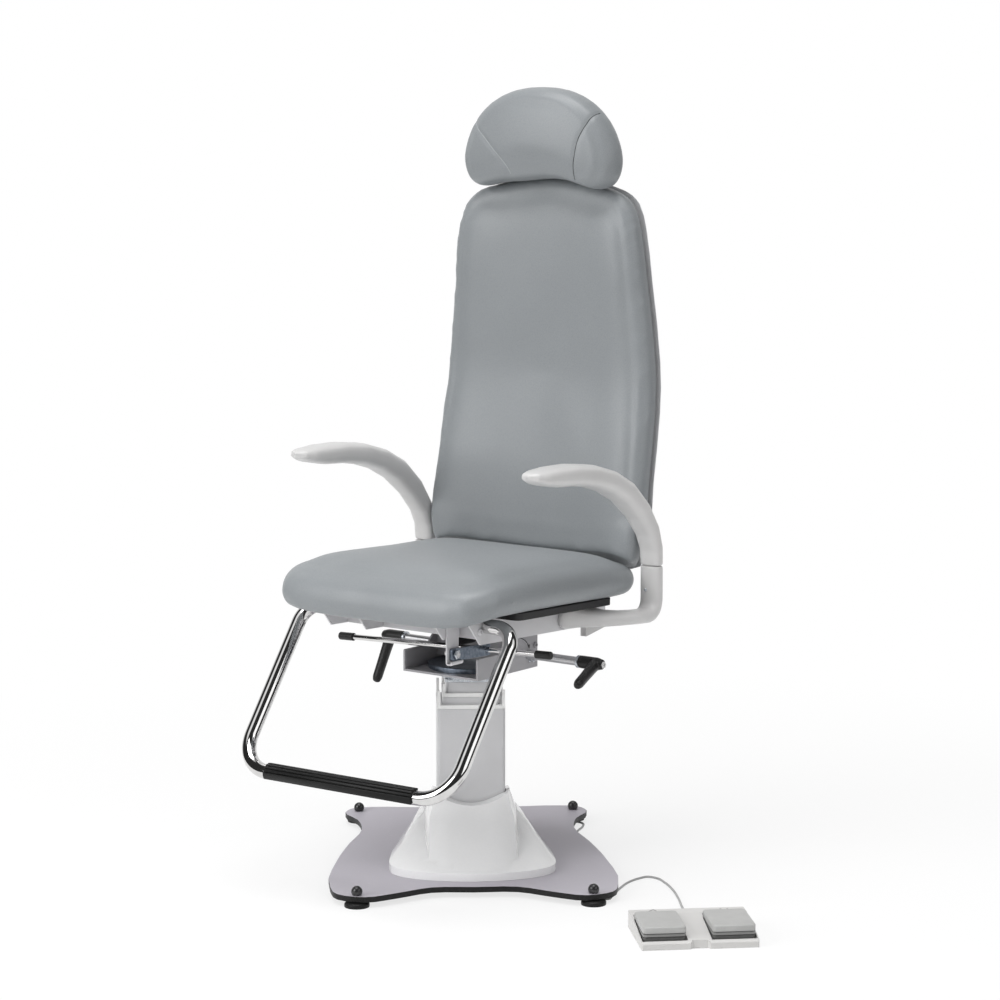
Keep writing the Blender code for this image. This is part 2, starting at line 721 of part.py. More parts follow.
def cover_shield(inset, low):
    rings = []
    foot = COVER_FRONT - SHIELD_FOOT
    for height, front, half in SHIELD_RISE:
        z = low + (SHIELD_SCOOP - inset - low) * height
        reach = foot + (OUTER_HALF + SHIELD_LIP - foot) * front - inset
        wide = SHIELD_HALF + (SHIELD_TOP_HALF - SHIELD_HALF) * half - inset
        ring = plan(wide, reach, OUTER_HALF * 0.6, z, SHIELD_SQUARENESS)
        for p in ring:
            p.y *= 1 - SHIELD_BOW * (p.x / wide) ** 2 if p.y < 0 else 1
        rings.append(ring)
    for p in rings[-1]:
        lift = (SHIELD_EAR - SHIELD_SCOOP) * (abs(p.x) / SHIELD_TOP_HALF) ** 2
        p.z += lift - max(0.0, p.y + 0.8 * OUTER_HALF) * 0.15
    rings.append([Vector((0, 0, SHIELD_SCOOP - inset))])
    return skin(rings)


cover_low = plate_top + GAP
column_cover = finish("column_cover", cover_wings(0, cover_low), white_shell, base)
combine(column_cover, tool("cover_shield", cover_shield(0, cover_low + OVERLAP), base), "UNION")
wings_hollow = cover_wings(COVER_WALL, cover_low - 0.6 * OVERCUT)
combine(column_cover, tool("cover_hollow", wings_hollow, base), "DIFFERENCE")
shield_hollow = cover_shield(COVER_WALL, cover_low - 0.4 * OVERCUT)
combine(column_cover, tool("shield_hollow", shield_hollow, base), "DIFFERENCE")
column_hole = prism(square(OUTER_HALF + COVER_CLEARANCE), 0.0, SHIELD_EAR + OVERCUT)
combine(column_cover, tool("column_hole", column_hole, base), "DIFFERENCE")


# Lifting column, with a white glide ring and corner strips on the two outer tubes
def glide(name, half, inside, low, post_top, parent):
    outer = square(half, steps=2)
    inner = square(inside, TUBE_CORNER - 0.002, steps=2)
    rings = [[Vector((x, y, z)) for x, y in loop]
             for loop, z in ((outer, low), (outer, low + GLIDE_RING),
                             (inner, low + GLIDE_RING), (inner, low))]
    ring = finish(name, skin(rings, closed=True), glide_white, parent)
    for sx in (-1, 1):
        for sy in (-1, 1):
            far = half - GLIDE_INSET
            near = far - GLIDE_POST
            corner = box((min(sx * near, sx * far), min(sy * near, sy * far), low + OVERLAP),
                         (max(sx * near, sx * far), max(sy * near, sy * far), post_top))
            combine(ring, tool("%s_strip_%d%d" % (name, sx, sy), corner, parent), "UNION")
    return ring


finish("column_outer", square_tube(OUTER_HALF, OUTER_WALL, plate_top + GAP, OUTER_TOP), column_paint, base)
glide("glide_outer", OUTER_HALF, MID_HALF + RUN, OUTER_TOP + GAP, OUTER_POST_TOP, base)
finish("column_mid", square_tube(MID_HALF, MID_WALL, MID_BOTTOM, MID_TOP), column_paint, base)
glide("glide_mid", MID_HALF, INNER_HALF + RUN, MID_TOP + GAP, MID_POST_TOP, base)
finish("column_inner", square_tube(INNER_HALF, INNER_WALL, INNER_BOTTOM, INNER_TOP), column_paint, base)
motor_top = plate_top + GAP + MOTOR_HEIGHT
actuator = ((0, plate_top + GAP), (MOTOR_RADIUS, plate_top + GAP), (MOTOR_RADIUS, motor_top),
            (ACTUATOR_RADIUS, motor_top), (ACTUATOR_RADIUS, ACTUATOR_TOP), (ROD_RADIUS + RUN, ACTUATOR_TOP),
            (ROD_RADIUS + RUN, ACTUATOR_FLOOR), (0, ACTUATOR_FLOOR))
finish("lift_actuator", turned(actuator), zinc, base)
plate_low = INNER_TOP + GAP
plate_high = plate_low + TOP_PLATE_THICKNESS
finish("lift_rod", rod(ROD_RADIUS, ROD_BOTTOM, plate_low - GAP), chrome, base)
finish("top_plate", prism(square(TOP_PLATE_HALF), plate_low, plate_high), zinc, base)

# Swivel: a bearing ring on the top plate, the bracket's floor on it, and a brake disc with a hub
bearing_low = plate_high + GAP
bearing_high = bearing_low + BEARING_HEIGHT
floor_low = bearing_high + GAP
floor_high = floor_low + BRACKET_SHEET
disc_low = floor_high + GAP
disc_high = disc_low + DISC_THICKNESS
ring_profile = ((BEARING_BORE, bearing_low), (BEARING_RADIUS, bearing_low),
                (BEARING_RADIUS, bearing_high), (BEARING_BORE, bearing_high))
finish("swivel_bearing", turned(ring_profile, segments=32), zinc, base)
disc_profile = ((0, bearing_low), (HUB_RADIUS, bearing_low), (HUB_RADIUS, disc_low), (DISC_RADIUS, disc_low),
                (DISC_RADIUS, disc_high - DISC_BEVEL), (DISC_RADIUS - DISC_BEVEL, disc_high), (0, disc_high))
finish("swivel_disc", turned(disc_profile, segments=40), zinc, base)

# Swivel bracket
pin_y = hinge_y + RECLINE_LEVER * sin(RECLINE_START)
pin_z = hinge_z - RECLINE_LEVER * cos(RECLINE_START)
spring_z = (pin_z + hinge_z - RECLINE_LEVER) / 2
floor_box = box((-BRACKET_HALF, -BRACKET_FRONT, floor_low), (BRACKET_HALF, BRACKET_REAR, floor_high))
swivel_bracket = finish("swivel_bracket", floor_box, frame_paint, chair)
step_rear = BRACKET_STEP_Y + BRACKET_CHAMFER
wall = rounded(((-BRACKET_FRONT, floor_low), (-BRACKET_FRONT, BRACKET_LOW), (BRACKET_STEP_Y, BRACKET_LOW),
                (step_rear, BRACKET_LOW + BRACKET_CHAMFER), (step_rear, BRACKET_HIGH),
                (BRACKET_REAR, BRACKET_HIGH), (BRACKET_REAR, floor_low)), BRACKET_CORNER, 2)
for side, word in SIDES:
    inside, outside = sorted((side * BRACKET_HALF, side * (BRACKET_HALF - BRACKET_SHEET)))
    combine(swivel_bracket, tool("bracket_wall_" + word, prism(wall, inside, outside, "X"), chair), "UNION")
bulkhead = box((-BRACKET_HALF + OVERLAP, BULKHEAD_Y, disc_high + BULKHEAD_MARGIN),
               (BRACKET_HALF - OVERLAP, BULKHEAD_Y + BULKHEAD_THICKNESS,
                spring_z + SPRING_RADIUS + BULKHEAD_MARGIN))
combine(swivel_bracket, tool("bulkhead", bulkhead, chair), "UNION")
hub_hole = rod(HUB_RADIUS + RUN, floor_low - OVERCUT, floor_high + OVERCUT, segments=24)
combine(swivel_bracket, tool("hub_hole", hub_hole, chair), "DIFFERENCE")
clamp_spot = (0, CLAMP_Y, CLAMP_Z)
clamp_hole = rod(CLAMP_RADIUS + GAP, -THROUGH, THROUGH, clamp_spot, "X")
combine(swivel_bracket, tool("clamp_hole", clamp_hole, chair), "DIFFERENCE")
spring_hole = rod(SPRING_RADIUS + GAP, BULKHEAD_Y - OVERCUT, BULKHEAD_Y + BULKHEAD_THICKNESS + OVERCUT,
                  (0, 0, spring_z), "Y")
combine(swivel_bracket, tool("spring_hole", spring_hole, chair), "DIFFERENCE")

# Clamp tube and levers
finish("clamp_tube", rod(CLAMP_RADIUS, -CLAMP_HALF, CLAMP_HALF, clamp_spot, "X"), frame_paint, chair)
HANDLE_SIZES = ((0.0, 0.0105), (0.25, 0.0096), (0.6, 0.0090), (0.88, 0.0088), (0.97, 0.0066), (1.0, 0.0))
for (side, word), angle in zip(SIDES, (LEVER_LEFT_ANGLE, LEVER_RIGHT_ANGLE)):
    inner_end = side * (CLAMP_HALF + GAP)
    outer_end = side * LEVER_END
    hub = ((0, inner_end), (LEVER_HUB, inner_end), (LEVER_HUB, outer_end - side * LEVER_CHAMFER_LENGTH),
           (LEVER_HUB - LEVER_CHAMFER, outer_end), (0, outer_end))
    lever = finish("clamp_lever_" + word, turned(hub, clamp_spot, "X"), lever_black, clamp_axis)
    radial = Vector((0, -sin(angle), -cos(angle)))
    across = Vector((0, cos(angle), -sin(angle)))
    root = Vector((outer_end - side * LEVER_ROOT, CLAMP_Y, CLAMP_Z))
    tip = root + radial * LEVER_LENGTH + Vector((side * LEVER_LEAN, 0, 0))
    line = (tip - root).normalized()
    flat = line.cross(across)
    handle = []
    for share, size in HANDLE_SIZES:
        handle.append((root.lerp(tip, share), across * size, flat * size))
    combine(lever, tool("lever_handle_" + word, oval_loft(handle, 14), clamp_axis), "UNION")

# Seat rails: two ribs and a top sheet each, with a short cross sheet near the front
rib_inner = BRACKET_HALF + GAP
rail_top = RAIL_HEIGHT
outer_rib = ((RAIL_TIP, rail_top), (RAIL_FOOT, 0), (RAIL_REAR_FOOT, 0), (RAIL_REAR, rail_top))
inner_rib = ((RAIL_TIP, rail_top), (RAIL_FOOT, 0), (RIB_REAR - RIB_CHAMFER, 0), (RIB_REAR, RIB_CHAMFER),
             (RIB_REAR, rail_top))
foot_bore = rod(FOOTREST_ROD + GAP, -THROUGH, THROUGH, (0, FOOTREST_PIVOT_Y, FOOTREST_PIVOT_RISE), "X", 16)
foot_holes = tool("foot_holes", foot_bore, seat)
hinge_bore = rod(HINGE_PIN + GAP, -THROUGH, THROUGH, (0, HINGE_Y, HINGE_RISE), "X", 16)
hinge_holes = tool("hinge_holes", hinge_bore, seat)
for side, word in SIDES:
    spans = [sorted((side * a, side * b)) for a, b in (
        (RAIL_HALF - RAIL_SHEET, RAIL_HALF), (rib_inner, rib_inner + RAIL_SHEET), (rib_inner, RAIL_HALF))]
    rail = finish("seat_rail_" + word, prism(outer_rib, *spans[0], "X"), frame_paint, seat)
    combine(rail, tool("inner_rib_" + word, prism(inner_rib, *spans[1], "X"), seat), "UNION")
    low, high = spans[2]
    web = box((low, RAIL_TIP, rail_top - RAIL_SHEET), (high, RAIL_REAR, rail_top))
    combine(rail, tool("rail_web_" + word, web, seat), "UNION")
    low, high = sorted((side * (rib_inner + OVERLAP), side * (RAIL_HALF - OVERLAP)))
    sheet = box((low, CROSS_Y, 0.0), (high, CROSS_Y + RAIL_SHEET, rail_top - OVERLAP))
    combine(rail, tool("rail_cross_" + word, sheet, seat), "UNION")
    combine(rail, foot_holes, "DIFFERENCE")
    combine(rail, hinge_holes, "DIFFERENCE")
cross = box((-rib_inner + GAP, CROSS_Y, 0.0), (rib_inner - GAP, CROSS_Y + RAIL_SHEET, rail_top))
finish("cross_member", cross, frame_paint, seat)
board_low = rail_top + GAP
board_high = board_low + BOARD_THICKNESS
board = rounded(((-BOARD_HALF, BOARD_FRONT), (BOARD_HALF, BOARD_FRONT), (BOARD_HALF, BOARD_REAR),
                 (-BOARD_HALF, BOARD_REAR)), BOARD_CORNER)
finish("seat_board", prism(board, board_low, board_high), board_black, seat)
hinge_spot = (0, hinge_y, hinge_z)
hinge_end = rib_inner + HINGE_PIN_END
finish("hinge_pin", rod(HINGE_PIN, -hinge_end, hinge_end, hinge_spot, "X"), zinc, chair)
foot_spot = (0, foot_y, foot_z)
rod_end = RAIL_HALF + FOOTREST_ROD_END
finish("footrest_rod", rod(FOOTREST_ROD, -rod_end, rod_end, foot_spot, "X", 16), zinc, chair)

# Seat cushion: rounded plan, drawn-in sides, crowned top and a front that hangs down
seat_low = board_high + GAP
seat_half = ((0, -SEAT_FRONT), (0.130, -SEAT_FRONT + 0.001), (0.203, -SEAT_FRONT + 0.017),
             (SEAT_HALF - 0.004, -SEAT_FRONT + 0.066), (SEAT_HALF, -0.150), (SEAT_HALF - 0.0025, -0.030),
             (SEAT_HALF, 0.085), (SEAT_HALF - 0.003, SEAT_REAR - 0.044), (0.213, SEAT_REAR - 0.010),
             (0.150, SEAT_REAR - 0.001), (0, SEAT_REAR))
seat_outline = mirrored(seat_half, 2)


def seat_form(swell):
    layers = ((0, -swell), (0.55, -swell), (0.90, -swell), (0.955, 0.07 * SEAT_SIDE),
              (0.988, 0.25 * SEAT_SIDE), (1.0, 0.50 * SEAT_SIDE), (0.995, 0.75 * SEAT_SIDE),
              (0.973, 0.96 * SEAT_SIDE),
              (0.94, SEAT_SIDE + 0.25 * SEAT_CROWN), (0.86, SEAT_SIDE + 0.56 * SEAT_CROWN),
              (0.70, SEAT_SIDE + 0.80 * SEAT_CROWN), (0.45, SEAT_SIDE + 0.95 * SEAT_CROWN),
              (0, SEAT_SIDE + SEAT_CROWN))

    def place(u, v, share, depth):
        grow = 1 + swell / SEAT_HALF
        front = max(0.0, (-SEAT_DROOP_START - v) / (SEAT_FRONT - SEAT_DROOP_START))
        hang = SEAT_DROOP + SEAT_ROLL * max(0.0, 1 - depth / SEAT_SIDE)
        rise = depth + (swell if depth > 0.5 * SEAT_SIDE else 0.0) - hang * front ** 1.6
        return Vector((u * grow, SEAT_MIDDLE + (v - SEAT_MIDDLE) * grow, seat_low + rise))
    return pillow(seat_outline, SEAT_MIDDLE, layers, place)


finish("seat_cushion", seat_form(0.0), leather, seat)


# Arm brackets, pins and arms
def bracket_stations(side):
    east = Vector((side, 0, 0))
    north = Vector((0, 1, 0))
    up = Vector((0, 0, 1))
    face = RAIL_HALF + GAP
    stations = []
    for out, y, half, tall in ((0.0, ARM_ROOT_Y, ARM_ROOT_HALF, ARM_ROOT_TALL),
                               (0.010, ARM_ROOT_Y, ARM_ROOT_HALF, ARM_ROOT_TALL),
                               (0.024, ARM_ROOT_Y + 0.010, 0.90 * ARM_ROOT_HALF, 0.875 * ARM_ROOT_TALL)):
        stations.append((Vector((side * (face + out), y, ARM_ROOT_Z)), north * half, up * tall))
    for x, y, turn, wide, tall in ((0.217, 0.103, 35, 0.026, 0.0145), (0.240, 0.126, 58, 0.0215, 0.0128),
                                   (0.253, 0.148, 80, ARM_WIDE, ARM_THICK)):
        a = radians(turn)
        sideways = east * -sin(a) + north * cos(a)
        stations.append((Vector((side * x, y, ARM_LOW + 0.001)), sideways * wide, up * tall))
    middle = Vector((side * ARM_X, ARM_Y - ARM_BEND, ARM_LOW + ARM_BEND))
    for turn in (0, 22.5, 45, 67.5, 90):
        a = radians(turn)
        out = north * sin(a) - up * cos(a)
        stations.append((middle + out * ARM_BEND, east * -ARM_WIDE, out * -ARM_THICK))
    stations.append((Vector((side * ARM_X, ARM_Y, ARM_SEAM - GAP)), east * -ARM_WIDE, north * -ARM_THICK))
    return stations


arm_path = (
    (ARM_Y, ARM_SEAM, ARM_WIDE, ARM_THICK), (0.197, 0.575, 0.0212, 0.0140), (0.184, 0.608, 0.0218, 0.0172),
    (0.152, 0.648, 0.0235, 0.0200), (0.105, 0.686, 0.0265, 0.0212), (0.055, 0.7105, 0.0295, 0.0205),
    (0.000, 0.7260, 0.0318, 0.0200), (-0.055, 0.7335, PAD_HALF, 0.0190), (-0.108, 0.7355, 0.0325, 0.0176),
    (-0.146, 0.7380, 0.0285, 0.0130), (-0.166, 0.7410, 0.0195, 0.0080), (PAD_TIP, 0.7440, 0.0, 0.0),
)
for side, word in SIDES:
    bracket_form = oval_loft(bracket_stations(side), 20, ARM_SQUARENESS)
    bracket = finish("arm_bracket_" + word, bracket_form, arm_grey, chair)
    stations = []
    for i, (y, z, wide, thick) in enumerate(arm_path):
        before = arm_path[max(i - 1, 0)]
        after = arm_path[min(i + 1, len(arm_path) - 1)]
        heading = Vector((0, after[0] - before[0], after[1] - before[1])).normalized()
        if i == 0:
            heading = Vector((0, 0, 1))
        stations.append((Vector((side * ARM_X, y, z)), Vector((wide, 0, 0)),
                         heading.cross(Vector((1, 0, 0))) * thick))
    arm = finish("arm_" + word, oval_loft(stations, 20, ARM_SQUARENESS), arm_grey, arm_axis[side])
    spot = (side * ARM_X, ARM_Y, 0)
    low, high = ARM_SEAM - ARM_PIN_DEPTH, ARM_SEAM + ARM_PIN_DEPTH
    finish("arm_pin_" + word, rod(ARM_PIN, low, high, spot, segments=16), zinc, chair)
    low_bore = rod(ARM_PIN + GAP, low - GAP, high, spot, segments=16)
    combine(bracket, tool("pin_bore_low_" + word, low_bore, chair), "DIFFERENCE")
    high_bore = rod(ARM_PIN + GAP, low, high + GAP, spot, segments=16)
    combine(arm, tool("pin_bore_high_" + word, high_bore, arm_axis[side]), "DIFFERENCE")

# Footrest: one bent tube and a ribbed tread on its crossbar
bar_y = foot_y - FOOTREST_REACH * sin(FOOTREST_ANGLE)
bar_z = foot_z - FOOTREST_REACH * cos(FOOTREST_ANGLE)
tube_start = rod_end + GAP
corners = [(-tube_start, foot_y, foot_z), (-FOOTREST_HALF, foot_y, foot_z), (-FOOTREST_HALF, bar_y, bar_z),
           (FOOTREST_HALF, bar_y, bar_z), (FOOTREST_HALF, foot_y, foot_z), (tube_start, foot_y, foot_z)]
bends = (FOOTREST_TOP_BEND, FOOTREST_LOW_BEND, FOOTREST_LOW_BEND, FOOTREST_TOP_BEND)
bent_tube("footrest_tube", filleted(corners, bends, 7), FOOTREST_TUBE, chrome, footrest_axis)
tread = []
for k in range(4 * TREAD_RIBS + 1):
    a = TREAD_START + (TREAD_END - TREAD_START) * k / (4 * TREAD_RIBS)
    reach = FOOTREST_TUBE + GAP + TREAD_THICKNESS - (TREAD_RIB if k % 4 in (0, 3) else 0.0)
    tread.append((bar_y - reach * cos(a), bar_z + reach * sin(a)))
for k in range(TREAD_STEPS + 1):
    a = TREAD_END + (TREAD_START - TREAD_END) * k / TREAD_STEPS
    reach = (FOOTREST_TUBE + GAP) / cos(0.53 * (TREAD_END - TREAD_START) / TREAD_STEPS)
    tread.append((bar_y - reach * cos(a), bar_z + reach * sin(a)))
finish("footrest_tread", prism(tread, -TREAD_HALF, TREAD_HALF, "X"), tread_rubber, footrest_axis)

# Release bar: a hook on the right rail carries a pin, an arm on the pin carries the bar
hook_face = rib_inner + RAIL_SHEET + GAP
hook_out = hook_face + RAIL_SHEET
lip_out = hook_out + HOOK_LIP
lip_top = HOOK_BOTTOM + HOOK_LIP_RISE
hook = ((hook_face, HOOK_TOP), (hook_face, HOOK_BOTTOM), (hook_face + HOOK_BEND, HOOK_BOTTOM - HOOK_BEND),
        (lip_out - HOOK_BEND, HOOK_BOTTOM - HOOK_BEND), (lip_out, HOOK_BOTTOM), (lip_out, lip_top),
        (lip_out - RAIL_SHEET, lip_top), (lip_out - RAIL_SHEET, HOOK_BOTTOM), (hook_out, HOOK_BOTTOM),
        (hook_out, HOOK_TOP))
hook_front = RELEASE_PIVOT_Y - HOOK_WIDTH / 2
hook_sheet = prism(hook, hook_front, hook_front + HOOK_WIDTH, "Y")
release_hook = finish("release_hook", hook_sheet, frame_paint, chair)
pin_spot = (0, RELEASE_PIVOT_Y, RELEASE_PIVOT_Z)
arm_in = hook_out + GAP
arm_out = arm_in + RELEASE_ARM
release_pin = rod(RELEASE_PIN, hook_face - RELEASE_PIN_TAIL, arm_out + RELEASE_PIN_HEAD, pin_spot, "X", 16)
combine(release_hook, tool("release_pin", release_pin, chair), "UNION")
arm_bar_z = BAR_Z + tan(BAR_TILT) * (arm_in + arm_out) / 2
arm_front = RELEASE_PIVOT_Y - RELEASE_ARM_HALF
arm_rear = BAR_Y + RELEASE_ARM_HALF
arm_outline = rounded(((arm_front, RELEASE_PIVOT_Z - RELEASE_ARM_HALF), (BAR_Y, arm_bar_z - RELEASE_ARM_HALF),
                       (arm_rear, arm_bar_z - RELEASE_ARM_HALF), (arm_rear, arm_bar_z + RELEASE_ARM_HALF),
                       (RELEASE_PIVOT_Y, RELEASE_PIVOT_Z + RELEASE_ARM_HALF),
                       (arm_front, RELEASE_PIVOT_Z + RELEASE_ARM_HALF)), RELEASE_ARM_CORNER)
release_arm = finish("release_arm", prism(arm_outline, arm_in, arm_out, "X"), zinc, release_axis)
pin_bore = rod(RELEASE_PIN + GAP, arm_in - OVERCUT, arm_out + OVERCUT, pin_spot, "X", 16)
combine(release_arm, tool("release_bore", pin_bore, release_axis), "DIFFERENCE")
bar_bore = rod(BAR_RADIUS + BAR_BORE_GAP, arm_in - OVERCUT, arm_out + OVERCUT, (0, BAR_Y, arm_bar_z), "X", 16)
combine(release_arm, tool("bar_bore", bar_bore, release_axis), "DIFFERENCE")


def leaning(bm):
    spin = Matrix.Translation((0, BAR_Y, BAR_Z)) @ Matrix.Rotation(-BAR_TILT, 4, "Y")
    bmesh.ops.transform(bm, matrix=spin, verts=bm.verts)
    return bm


cap_in = BAR_HALF - CAP_LENGTH
bar_end = BAR_HALF - CAP_CLOSED
finish("release_bar", leaning(rod(BAR_RADIUS, -bar_end, bar_end, axis="X")), chrome, release_axis)
for side, word in SIDES:
    cap = ((BAR_RADIUS + GAP, side * cap_in), (CAP_RADIUS, side * cap_in),
           (CAP_RADIUS, side * (BAR_HALF - CAP_BEVEL)), (CAP_RADIUS - CAP_BEVEL, side * BAR_HALF),
           (0, side * BAR_HALF))
    bore = ((0, side * (bar_end + GAP)), (BAR_RADIUS + GAP, side * (bar_end + GAP)))
    finish("release_cap_" + word, leaning(turned(bore + cap, axis="X")), lever_black, release_axis)

# Back arms, with a tail below the hinge that works the gas spring
back_height = BACK_TOP - BACK_BOTTOM
spine = spline([(BACK_BOTTOM + share * back_height, y) for share, y in BACK_SPINE], 6)


def back_y(x, z):
    return read(spine, z) - BACK_WRAP * (x / BACK_HALF) ** 2


cushion_rear = BACK_SIDE / 2 - 0.001
shell_front = cushion_rear + GAP
shell_rear = shell_front + SHELL_THICKNESS
arm_plate_in = rib_inner + RAIL_SHEET + GAP
arm_plate_out = arm_plate_in + BACK_ARM_SHEET
levels = [BACK_ARM_FOOT + (BACK_ARM_TOP - BACK_ARM_FOOT) * k / 6 for k in range(7)]
front_edge = [(back_y(arm_plate_in, z) + shell_rear + BACK_ARM_GAP, z) for z in levels]
rear_edge = [(y + BACK_ARM_DEPTH, z) for y, z in reversed(front_edge)]
tail_low = hinge_z - TAIL_DROP
shell_foot = (back_y(arm_plate_in, BACK_BOTTOM) + shell_rear + 0.002, BACK_BOTTOM - 0.010)
back_plate = ([(hinge_y - TAIL_FRONT, tail_low), (hinge_y - TAIL_FRONT, hinge_z + 0.004), shell_foot]
              + front_edge + rear_edge
              + [(hinge_y + TAIL_REAR + 0.004, hinge_z + 0.012), (hinge_y + TAIL_REAR, tail_low)])
spring_pin_spot = (0, pin_y, pin_z)
back_bore = rod(HINGE_PIN + GAP, -THROUGH, THROUGH, hinge_spot, "X", 16)
back_hole = tool("back_hole", back_bore, recline_axis)
spring_pin_bore = rod(RECLINE_PIN + GAP, -THROUGH, THROUGH, spring_pin_spot, "X", 16)
spring_pin_hole = tool("spring_pin_hole", spring_pin_bore, recline_axis)
for side, word in SIDES:
    low, high = sorted((side * arm_plate_in, side * arm_plate_out))
    plate = finish("back_arm_" + word, prism(back_plate, low, high, "X"), frame_paint, recline_axis)
    combine(plate, back_hole, "DIFFERENCE")
    combine(plate, spring_pin_hole, "DIFFERENCE")
pin_end = arm_plate_out + RECLINE_PIN_END
finish("recline_pin", rod(RECLINE_PIN, -pin_end, pin_end, spring_pin_spot, "X", 16), zinc, recline_axis)

# Gas spring: the cylinder sits in the bracket's bulkhead, the rod's eye is slotted for the pin's arc
pin_travel = 2 * RECLINE_LEVER * sin(RECLINE_RANGE / 2)
bore_front = SPRING_FRONT + SPRING_CAP
cylinder = ((0, SPRING_FRONT), (SPRING_RADIUS, SPRING_FRONT), (SPRING_RADIUS, SPRING_REAR),
            (SPRING_ROD + RUN, SPRING_REAR), (SPRING_ROD + RUN, bore_front), (0, bore_front))
finish("gas_cylinder", turned(cylinder, (0, 0, spring_z), "Y"), lever_black, chair)
rod_front = bore_front + pin_travel + SPRING_REST
eye_front = pin_y - EYE_HALF
rod_shape = rod(SPRING_ROD, rod_front, eye_front + OVERLAP, (0, 0, spring_z), "Y")
gas_rod = finish("gas_rod", rod_shape, chrome, chair)
eye = box((-EYE_WIDE, eye_front, spring_z - EYE_TALL), (EYE_WIDE, pin_y + EYE_HALF, spring_z + EYE_TALL))
combine(gas_rod, tool("rod_eye", eye, chair), "UNION")
slot_y = RECLINE_PIN + EYE_PLAY
slot_z = pin_z - spring_z + RECLINE_PIN + EYE_PLAY
slot = box((-EYE_WIDE - OVERCUT, pin_y - slot_y, spring_z - slot_z),
           (EYE_WIDE + OVERCUT, pin_y + slot_y, spring_z + slot_z))
combine(gas_rod, tool("eye_slot", slot, chair), "DIFFERENCE")

# Back cushion and the moulded shell behind it
back_half = [(u * BACK_HALF, BACK_BOTTOM + share * back_height) for u, share in BACK_OUTLINE]
back_outline = mirrored(back_half, 2)


def back_place(u, v, share, depth):
    return Vector((u, back_y(u, v) + depth, v))


half_side = BACK_SIDE / 2
rear_shares = (0, 0.36, 0.66, 0.85, 0.925)
back_layers = [(share, cushion_rear) for share in rear_shares]
back_layers += [(0.970, cushion_rear - 0.003), (0.996, 0.45 * half_side), (1.0, -0.30 * half_side),
                (0.993, -0.80 * half_side)]
back_layers += [(share, -half_side - rise * BACK_CROWN) for share, rise in (
    (0.968, 0.08), (0.910, 0.36), (0.770, 0.66), (0.520, 0.88), (0, 1.0))]
back_form = pillow(back_outline, BACK_MIDDLE, back_layers, back_place)
back_cushion = finish("back_cushion", back_form, leather, recline_axis)
seat_room = tool("seat_room", seat_form(SEAT_TO_BACK), seat)
combine(back_cushion, seat_room, "DIFFERENCE")
shell_layers = ([(share, shell_front) for share in rear_shares] + [(1.000, shell_front + 0.001)]
                + [(0.998, shell_front + 0.3 * SHELL_THICKNESS), (0.950, shell_rear - 0.0005)]
                + [(share, shell_rear) for share in reversed(rear_shares)])
shell_form = pillow(back_outline, BACK_MIDDLE, shell_layers, back_place)
finish("back_shell", shell_form, shell_grey, recline_axis)

# Headrest: a bean-shaped cushion on a plate and flat bar that slides in a guide behind the shell
guide_bottom = GUIDE_TOP - GUIDE_HEIGHT
guide_front = max(back_y(0, z) for z in (guide_bottom, GUIDE_TOP)) + shell_rear + GUIDE_GAP
guide_box = box((-GUIDE_HALF, guide_front, guide_bottom),
                (GUIDE_HALF, CARRIER_Y + BAR_THICK + RUN + GUIDE_WALL, GUIDE_TOP))
headrest_guide = finish("headrest_guide", guide_box, lever_black, recline_axis)
guide_slot = box((-BAR_WIDE - RUN, CARRIER_Y - RUN, guide_bottom - OVERCUT),
                 (BAR_WIDE + RUN, CARRIER_Y + BAR_THICK + RUN, GUIDE_TOP + OVERCUT))
combine(headrest_guide, tool("guide_slot", guide_slot, recline_axis), "DIFFERENCE")
head_plate_front = HEAD_Y + HEAD_REAR + GAP
head_plate_rear = head_plate_front + BAR_THICK
bar_top = HEAD_MIDDLE + BAR_THICK
flat_bar = box((-BAR_WIDE, CARRIER_Y, BAR_BOTTOM), (BAR_WIDE, CARRIER_Y + BAR_THICK, bar_top))
carrier = finish("headrest_carrier", flat_bar, zinc, recline_axis)
shelf = box((-BAR_WIDE, head_plate_front + OVERLAP, HEAD_MIDDLE), (BAR_WIDE, CARRIER_Y + OVERLAP, bar_top))
combine(carrier, tool("carrier_shelf", shelf, recline_axis), "UNION")
head_plate = box((-HEAD_PLATE_HALF, head_plate_front, HEAD_MIDDLE - HEAD_PLATE_BELOW),
                 (HEAD_PLATE_HALF, head_plate_rear, HEAD_MIDDLE + HEAD_PLATE_ABOVE))
combine(carrier, tool("head_plate", head_plate, recline_axis), "UNION")
bean_half = ((0, HEAD_NOTCH), (0.066, HEAD_NOTCH - 0.003), (0.105, HEAD_LOBE + 0.005), (0.131, HEAD_LOBE),
             (0.155, HEAD_LOBE + 0.011), (HEAD_HALF, HEAD_LOBE + 0.046),
             (HEAD_HALF - 0.006, HEAD_LOBE + 0.080), (0.140, HEAD_TOP - 0.059), (0.105, HEAD_TOP - 0.027),
             (0.057, HEAD_TOP - 0.006), (0, HEAD_TOP))
head_layers = ((0, HEAD_REAR), (0.45, HEAD_REAR), (0.74, HEAD_REAR - 0.001), (0.90, 0.72 * HEAD_REAR),
               (0.985, 0.30 * HEAD_REAR), (1.0, 0.0), (0.985, -0.30 * HEAD_FRONT), (0.93, -0.58 * HEAD_FRONT),
               (0.80, -0.80 * HEAD_FRONT), (0.55, -0.94 * HEAD_FRONT), (0, -HEAD_FRONT))


def head_place(u, v, share, depth):
    return Vector((u, HEAD_Y + depth, v))


head_form = pillow(mirrored(bean_half, 2), HEAD_MIDDLE, head_layers, head_place)
finish("headrest_cushion", head_form, leather, recline_axis)

